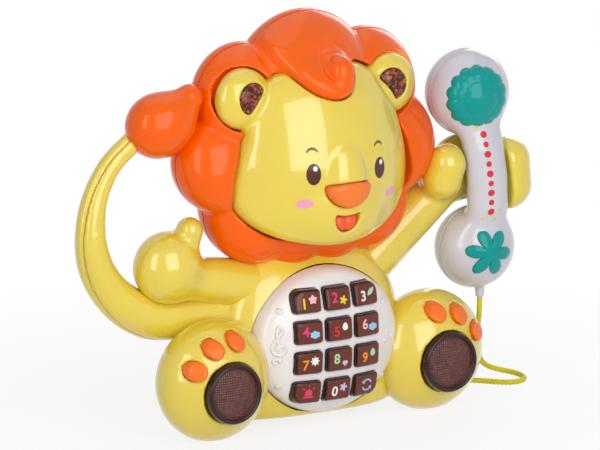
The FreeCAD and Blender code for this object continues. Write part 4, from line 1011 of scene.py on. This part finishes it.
def figure(text, height):
    """A number as a flat filled shape, its middle at zero."""
    curve = bpy.data.curves.new("figure", "FONT")
    curve.body = text
    curve.offset = FIGURE_OFFSET
    holder = bpy.data.objects.new("figure", curve)
    mesh = bpy.data.meshes.new_from_object(holder)
    verts, faces = mesh_parts(mesh, weld=1e-5)
    bpy.data.objects.remove(holder)
    bpy.data.meshes.remove(mesh)
    flat = verts[:, :2]
    low, high = flat.min(0), flat.max(0)
    return (flat - (low + high) / 2) * height / (high[1] - low[1]), faces


def joined(*shapes):
    verts, faces = [], []
    for flat, some in shapes:
        start = sum(len(v) for v in verts)
        verts.append(np.array(flat))
        faces += [[i + start for i in face] for face in some]
    return np.concatenate(verts), faces


def moved(shape, x, z):
    return shape[0] + np.array((x, z)), shape[1]


def decal(name, shape, place, surface, look, slot, lift=0.12, sink=0.4, turn=0.0):
    """A flat shape laid on a surface as a thin closed piece, on the same body."""
    flat, faces = shape
    c, w = math.cos(turn), math.sin(turn)
    pts = flat @ np.array([(c, w), (-w, c)]) + np.array(place)
    deep = np.array([surface_y(surface, x, z) for x, z in pts])
    top = np.stack([pts[:, 0], deep - lift, pts[:, 1]], 1)
    bottom = top + np.array((0, lift + sink, 0))
    n = len(pts)
    edges = {}
    for face in faces:
        for a, b in zip(face, list(face[1:]) + [face[0]]):
            edges.setdefault((min(a, b), max(a, b)), []).append((a, b))
    rim = [uses[0] for uses in edges.values() if len(uses) == 1]
    walls = [(a, b, b + n, a + n) for a, b in rim]
    under = [[i + n for i in reversed(face)] for face in faces]
    return new_object(name, np.concatenate([top, bottom]), [list(f) for f in faces] + under + walls,
                      surfaces[surface][1], slot, look=look, smooth=False)


# Eyes, brows and cheeks, placed as (eye, brow, cheek)
FACE_PRINTS = {
    "left": ((-22.4, 160.0), (-22.6, 171.8), (-27.5, 142.4)),
    "right": ((25.0, 158.6), (24.6, 170.6), (36.0, 141.6)),
}
EYE_HALF = (4.4, 6.5)
GLINT_HALF = (1.3, 1.6)
GLINT_SHIFT = (1.0, 3.4)
CHEEK_HALF = (5.0, 2.7)
BROW_POINTS = 14
BROW_TAPER = 0.4
brow_line = arc(radius=3.6, start=22, end=158, count=BROW_POINTS)
brow_width = 1.4 * np.sin(np.linspace(BROW_TAPER, math.pi - BROW_TAPER, BROW_POINTS)) + 0.2
for label, (eye, brow, cheek) in FACE_PRINTS.items():
    glint = (eye[0] + GLINT_SHIFT[0], eye[1] + GLINT_SHIFT[1])
    decal("eye_" + label, disc(1.0, EYE_HALF, rings=5), eye, "face", "print_eye", "brown_clear")
    decal("eye_glint_" + label, disc(1.0, GLINT_HALF), glint, "face", "print_white", "panel_white", lift=0.2)
    decal("brow_" + label, strip(brow_line, brow_width), brow, "face", "print_brown", "brown_clear")
    blush = disc(1.0, CHEEK_HALF, rings=4)
    decal("cheek_" + label, blush, cheek, "face", "print_pink", "nose_orange", turn=0.1)

# Figures and plain motifs on the keys: the figure's ink, the motif and its ink
PETALS = blob(lambda a: 2.1 + 0.7 * math.cos(5 * a))
STAR = blob(lambda a: 2.0 + 0.85 * abs(math.cos(2.5 * (a - math.pi / 2))) ** 3)
CLOUD = blob(lambda a: 2.0 + 0.6 * abs(math.sin(3 * a)) ** 0.7, stretch=(1.3, 0.9))
HEART = blob(
    lambda a: 0.85 * (2 - 2 * math.sin(a) + math.sin(a) * math.sqrt(abs(math.cos(a))) / (math.sin(a) + 1.4))
)
SUN = blob(lambda a: 1.9 + 1.1 * abs(math.cos(4 * a)) ** 3, count=96)
DROP = blob(lambda a: 1.9 + 0.9 * max(0.0, math.sin(a)) ** 6)
LEAF = blob(lambda a: 2.9 / (1 + 1.4 * abs(math.sin(a - 0.7))), stretch=(1.2, 1.2))
BELL = blob(lambda a: 2.4 if math.sin(a) > 0 else 2.4 / max(1.0, 2.6 * abs(math.sin(a))), stretch=(1.0, 1.25))
KEY_PRINTS = {
    "1": ("lemon", STAR, "rose"), "2": ("magenta", PETALS, "lemon"), "3": ("white", LEAF, "mint"),
    "4": ("magenta", CLOUD, "blue"), "5": ("red", DROP, "white"), "6": ("rose", CLOUD, "blue"),
    "7": ("orange", SUN, "white"), "8": ("mint", HEART, "lilac"), "9": ("orange", DROP, "mint"),
    "0": ("white", PETALS, "lilac"),
}
FIGURE_HEIGHT = 6.2
PRINT_SHIFT = 2.9
FIGURE_DROP = 0.9
MOTIF_RISE = 1.2


def key_print(name, label, shape, ink, dx=0.0, dz=0.0):
    x, z = key_place(KEYS.index(label))
    decal(name + "_" + label, shape, (x + dx, z + dz), "key_cap_" + label, "print_" + ink, "brown_clear")


for label, (ink, motif, motif_ink) in KEY_PRINTS.items():
    lean = -1 if KEYS.index(label) % 2 else 1
    key_print("figure", label, figure(label, FIGURE_HEIGHT), ink, -PRINT_SHIFT, -FIGURE_DROP * lean)
    key_print("motif", label, motif, motif_ink, PRINT_SHIFT, MOTIF_RISE * lean)
bell_foot = strip([(-3.2, 0), (0, 0), (3.2, 0)], width=1.1)
bell_rays = [strip(arc(1, a, a, count=2) * [[3.5], [5.0]], width=0.6) for a in (40, 90, 140)]
key_print("sign", "star", joined(moved(BELL, 0, -0.6), moved(bell_foot, 0, -2.6), *bell_rays), "magenta")
arrow_width = np.concatenate([np.full(11, 1.0), [2.6, 1.4, 0.1]])
arrows = [strip(arc(3.3, a, a + 145, count=len(arrow_width)), arrow_width) for a in (20, 200)]
key_print("sign", "hash", joined(*arrows), "blue")

# Dots down the grip of the handset, and specks as (x from the grip, z, radius)
DOT_COUNT = 9
DOT_TOP = 166.0
DOT_PITCH = 6.0
DOT_SHIFT = -3.4
DOT_RADII = (2.1, 1.75)
SPECKS = [
    (-7.0, 170.5, 1.1), (1.0, 172.0, 0.9), (-9.5, 163.0, 0.8), (-7.5, 114.0, 1.0), (0.0, 113.0, 1.2),
    (2.5, 119.0, 0.8),
]
for i in range(DOT_COUNT):
    z = DOT_TOP - DOT_PITCH * i
    place = (grip_x(z) + DOT_SHIFT, z)
    decal("grip_dot_%d" % (i + 1), disc(DOT_RADII[i % 2]), place, "handset_shell", "print_red", "nose_orange")
for number, (dx, z, radius) in enumerate(SPECKS, 1):
    place = (grip_x(z) + dx, z)
    decal("grip_speck_%d" % number, disc(radius), place, "handset_shell", "print_lemon", "cord_yellow")

# Teal reliefs on the cups, each with a skirt of (share of its edge, height)
RELIEF_GRID = 72
RELIEF_SKIRT = [(1.02, 0.45), (1.03, 0.0), (1.03, -0.8)]
SCALLOPS = 7
CENTRE_SHARE = 0.6


def relief(name, cup, degrees, edge_at, height_at, node):
    """A raised shape on the front ball of a cup, turned about its upright axis."""
    centre, radius, half_depth, rim = cup
    rise = bun_arc(radius, half_depth, rim)[2]
    middle = np.array(centre) + (0, rise, 0)
    ball = half_depth + rise
    turn = math.radians(degrees)
    out = np.array((math.sin(turn), -math.cos(turn), 0))
    across = np.array((math.cos(turn), math.sin(turn), 0))

    def place(share, u, height):
        w = np.array(u) * share * edge_at(math.atan2(u[1], u[0]))
        deep = math.sqrt((ball + height) ** 2 - w @ w)
        return tuple(middle + across * w[0] + np.array((0, 0, w[1])) + out * deep)

    flat, quads, loop = disc_grid(RELIEF_GRID)
    verts = [place(1.0, u, height_at(math.hypot(*u), math.atan2(u[1], u[0]))) for u in flat]
    rings = [(share, lambda r, u, height=height: place(r, u, height)) for share, height in RELIEF_SKIRT]
    verts, faces = turned_skirt(verts, loop, flat, rings)
    new_object(name, verts, quads.tolist() + faces, "handset", "teal", [node])


def rosette_height(far, a):
    """A domed middle in a ring of puffed petals."""
    if far < CENTRE_SHARE:
        return 1.3 + 0.9 * (1 - (far / CENTRE_SHARE) ** 2)
    puff = abs(math.sin(SCALLOPS * a)) ** 0.6
    petal = math.sin(math.pi * min(1.0, (far - CENTRE_SHARE) / (1 - CENTRE_SHARE))) ** 0.5 if far < 1 else 0.0
    return 0.9 + 0.9 * petal * (0.45 + 0.55 * puff)


relief("rosette", EARPIECE, degrees=-12, edge_at=lambda a: 17.6 + 1.5 * abs(math.sin(SCALLOPS * a)) ** 0.7,
       height_at=rosette_height, node="earpiece_rosette")
relief("flower", MOUTHPIECE, degrees=-6,
       edge_at=lambda a: 15.0 * (0.36 + 0.64 * abs(math.cos(3 * a + 0.4)) ** 0.7),
       height_at=lambda far, a: 0.8 + 1.1 * math.sqrt(max(0.0, 1 - far**3)), node="mouthpiece_flower")


# Tubes: the raised marks on the panel here, and the cord at the end
def swept_tube(points, radius_at, sides, side):
    """A closed tube along points, with its radius from the point's number, the run so far and the angle."""
    verts, faces = [], []
    run = 0.0
    last = len(points) - 1
    for i, point in enumerate(points):
        ahead = (points[min(i + 1, last)] - points[max(i - 1, 0)]).normalized()
        side = (side - ahead * side.dot(ahead)).normalized()
        up = ahead.cross(side)
        if i:
            run += (point - points[i - 1]).length
        for k in range(sides):
            a = 2 * math.pi * k / sides
            r = radius_at(i, run, a)
            verts.append(tuple(point + side * (r * math.cos(a)) + up * (r * math.sin(a))))
    for i in range(last):
        for k in range(sides):
            a, b = i * sides + k, i * sides + (k + 1) % sides
            faces.append((a, b, b + sides, a + sides))
    return verts, faces + [list(range(sides))[::-1], [last * sides + k for k in range(sides)]]


RIDGE_LIFT = 0.35
RIDGE_TIP = 0.45
RIDGE_SIDES = 10
RIDGE_SIDE = Vector((1, 0, 0.01))
BEAD_RISE = 1.5
CLEF = [
    (-0.6, -10.2), (-2, -10.9), (-2.9, -9.6), (-2, -8.2), (-0.2, -8.4), (0.8, -9.8), (0.7, -6.5), (0, -1.5),
    (-0.8, 4), (-0.9, 8.2), (0.2, 11.2), (1.5, 10.6), (1.6, 8), (-0.4, 4.8), (-2.8, 1.8), (-3.9, -1.6),
    (-2.4, -4.8), (0.6, -5.4), (2.9, -3.9), (3, -1.4), (1.2, 0), (-0.8, -0.8), (-1.2, -2.6),
]
CLEF_PLACE = (-39.0, 55.0)
CLEF_STRETCH = 1.1
BEADS = [(-37.0, 75.2, 2.1), (-37.6, 29.2, 2.1), (35.6, 73.2, 1.9), (37.8, 26.4, 1.8)]
NOTES = [(36.2, 49.6), (41.4, 51.4)]
NOTE_RADIUS = 1.8
STEM_SHIFT = 1.2
STEM_STEPS = 0.4 * np.arange(23)
BEAM_START = (37.4, 58.4)
BEAM_STEPS = np.outer(np.arange(11), (0.52, 0.18))


def ridge(name, line, radius):
    ends = (0, len(line) - 1)
    points = [Vector((x, surface_y("panel", x, z) - RIDGE_LIFT, z)) for x, z in line]

    def radius_at(i, run, a):
        return radius * (RIDGE_TIP if i in ends else 1.0)

    verts, faces = swept_tube(points, radius_at, RIDGE_SIDES, RIDGE_SIDE)
    new_object(name, verts, faces, "base", "panel_white")


def bead(name, x, z, radius):
    shape = disc(radius, rings=5)
    obj = decal(name, shape, (x, z), "panel", "panel_white", "panel_white", lift=0.1)
    for vert in obj.data.vertices[:len(shape[0])]:
        off = math.hypot(vert.co.x / MM - x, vert.co.z / MM - z) / radius
        vert.co.y -= BEAD_RISE * MM * math.sqrt(max(0.0, 1 - off**2))
    obj.data.shade_smooth()


ridge("panel_clef", spline_open(CLEF, per=6) * (CLEF_STRETCH, 1.0) + CLEF_PLACE, radius=1.1)
for number, (x, z, radius) in enumerate(BEADS, 1):
    bead("panel_bead_%d" % number, x, z, radius)
for number, (x, z) in enumerate(NOTES, 1):
    bead("panel_note_%d" % number, x, z, NOTE_RADIUS)
    ridge("panel_stem_%d" % number, [(x + STEM_SHIFT, z + up) for up in STEM_STEPS], radius=0.6)
ridge("panel_beam", BEAM_START + BEAM_STEPS, radius=0.8)


# Floor, light and camera, in metres
def math_node(tree, operation, first, second):
    node = add_node(tree, "Math")
    node.operation = operation
    tree.links.new(first, node.inputs[0])
    tree.links.new(second, node.inputs[1])
    return node.outputs["Value"]


def seen_straight(tree):
    """A socket that is 1 for rays from the camera, from gloss and through clear plastic."""
    paths = add_node(tree, "LightPath")
    seen = paths.outputs["Is Camera Ray"]
    for other in ("Is Glossy Ray", "Is Transmission Ray"):
        seen = math_node(tree, "MAXIMUM", seen, paths.outputs[other])
    return seen


def mix_shaders(tree, share, first, second, output):
    blend = add_node(tree, "MixShader")
    tree.links.new(share, blend.inputs["Fac"])
    tree.links.new(first, blend.inputs[1])
    tree.links.new(second, blend.inputs[2])
    tree.links.new(blend.outputs["Shader"], tree.nodes[output].inputs["Surface"])


FLOOR_HALF = 6.0
WHITE = (1, 1, 1, 1)


def pale_floor():
    """A pale plastic that looks white away from the object, with a soft grey close to it."""
    mat = plastic("floor_pale", (0.9, 0.9, 0.9, 1.0), rough=0.6, vary=0.01, bump=0.0, coat=0.0)
    tree = mat.node_tree
    reach = add_node(tree, "VectorMath")
    reach.operation = "LENGTH"
    tree.links.new(add_node(tree, "TexCoord").outputs["Object"], reach.inputs[0])
    fade = add_node(tree, "MapRange", From_Min=0.1, From_Max=0.4, To_Min=0.82, To_Max=1.0)
    tree.links.new(reach.outputs["Value"], fade.inputs["Value"])
    share = math_node(tree, "MULTIPLY", seen_straight(tree), fade.outputs["Result"])
    white = add_node(tree, "Emission")
    mix_shaders(tree, share, tree.nodes["Principled BSDF"].outputs["BSDF"], white.outputs["Emission"],
                "Material Output")
    return mat


floor_mesh = bpy.data.meshes.new("floor")
floor_signs = ((-1, -1), (1, -1), (1, 1), (-1, 1))
floor_mesh.from_pydata([(x * FLOOR_HALF, y * FLOOR_HALF, 0) for x, y in floor_signs], [], [range(4)])
floor_mesh.materials.append(pale_floor())
floor = place_object("floor", floor_mesh)


def area(name, place, target, size, power):
    light = bpy.data.lights.new(name, "AREA")
    light.shape = "RECTANGLE"
    light.size, light.size_y = size
    light.energy = power
    obj = place_object(name, light)
    obj.location = place
    obj.rotation_euler = (Vector(target) - Vector(place)).to_track_quat("-Z", "Y").to_euler()


TARGET = (0.0, 0.0, 0.1174)
CHEST = (0.0, 0.0, 0.16)
area("softbox_right", (-0.12, -1.25, 0.6), CHEST, size=(0.84, 1.15), power=9.6)
area("softbox_left", (-1.15, -0.68, 0.62), CHEST, size=(0.36, 1.1), power=4.6)
area("softbox_top", (0.1, 0.25, 1.5), TARGET, size=(1.2, 0.9), power=2.5)
area("softbox_back", (1.2, 1.0, 0.8), TARGET, size=(0.7, 0.9), power=4.0)
world = bpy.data.worlds.new("studio")
bpy.context.scene.world = world
world.use_nodes = True
dim = world.node_tree.nodes["Background"]
set_sockets(dim, Color=WHITE, Strength=0.25)
bright = add_node(world.node_tree, "Background", Color=WHITE)
mix_shaders(world.node_tree, seen_straight(world.node_tree), dim.outputs["Background"],
            bright.outputs["Background"], "World Output")

CAMERA_DISTANCE = 7.0
TOWARDS = Vector((-0.5317, -0.8188, 0.2164)).normalized()
camera_data = bpy.data.cameras.new("camera")
camera_data.sensor_width = 36.0
camera_data.lens = 700.0
camera = place_object("camera", camera_data)
bpy.context.scene.camera = camera
camera.location = Vector(TARGET) + TOWARDS * CAMERA_DISTANCE
camera.rotation_euler = (-TOWARDS).to_track_quat("-Z", "Y").to_euler()
bpy.context.scene.view_settings.view_transform = "Standard"

# Cord: a rope of twisted strands that repeats the route of the CAD cord
CORD_ROUTE = [
    (92.0, 3.0, 14.0), (92.0, 10.5, 14.0), (95.0, 18.0, 10.4), (100.5, 22.8, 6.4), (109.0, 24.6, 3.6),
    (119.0, 23.2, 2.2), (128.5, 19.5, 1.8), (137.0, 12.0, 1.7), (143.5, 3.0, 1.8), (151.5, -4.0, 1.7),
    (161.0, -2.5, 1.8), (167.0, 6.0, 1.7), (167.0, 17.0, 2.0), (159.5, 25.0, 3.4), (149.0, 24.0, 8.0),
    (140.0, 16.5, 17.0), (131.5, 7.0, 28.0), (124.5, -5.5, 39.5), (119.5, -15.6, 50.0), (119.5, -15.6, 60.65),
]
CORD_RADIUS = 1.7
CORD_SIDES = 18
STRANDS = 3
STRAND_PITCH = 0.0075
STRAND_GROOVE = 0.2


def route_points():
    """Points along the route's own curve, in metres."""
    curve = bpy.data.curves.new("cord_route", "CURVE")
    curve.dimensions = "3D"
    curve.resolution_u = 40
    spline = curve.splines.new("NURBS")
    spline.points.add(len(CORD_ROUTE) - 1)
    for point, place in zip(spline.points, CORD_ROUTE):
        point.co = (*[c * MM for c in place], 1.0)
    spline.order_u = 3
    spline.use_endpoint_u = True
    holder = bpy.data.objects.new("cord_route", curve)
    mesh = bpy.data.meshes.new_from_object(holder)
    points = [v.co.copy() for v in mesh.vertices]
    bpy.data.objects.remove(holder)
    bpy.data.meshes.remove(mesh)
    return points


def rope_radius(i, run, a):
    swell = abs(math.cos(0.5 * STRANDS * (a + 2 * math.pi * run / STRAND_PITCH)))
    return CORD_RADIUS * MM * (1 - STRAND_GROOVE + STRAND_GROOVE * swell)


route = route_points()
verts, faces = swept_tube(route, rope_radius, CORD_SIDES, Vector((1, 0, 0)))
cord_mesh = bpy.data.meshes.new("cord")
cord_mesh.from_pydata(verts, [], faces)
cord_mesh.shade_smooth()
cord_mesh.materials.append(LOOKS["cord_yellow"])
cord = place_object("cord", cord_mesh)
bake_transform(cord)
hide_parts("handset_cord")
[list(p) for p in route]
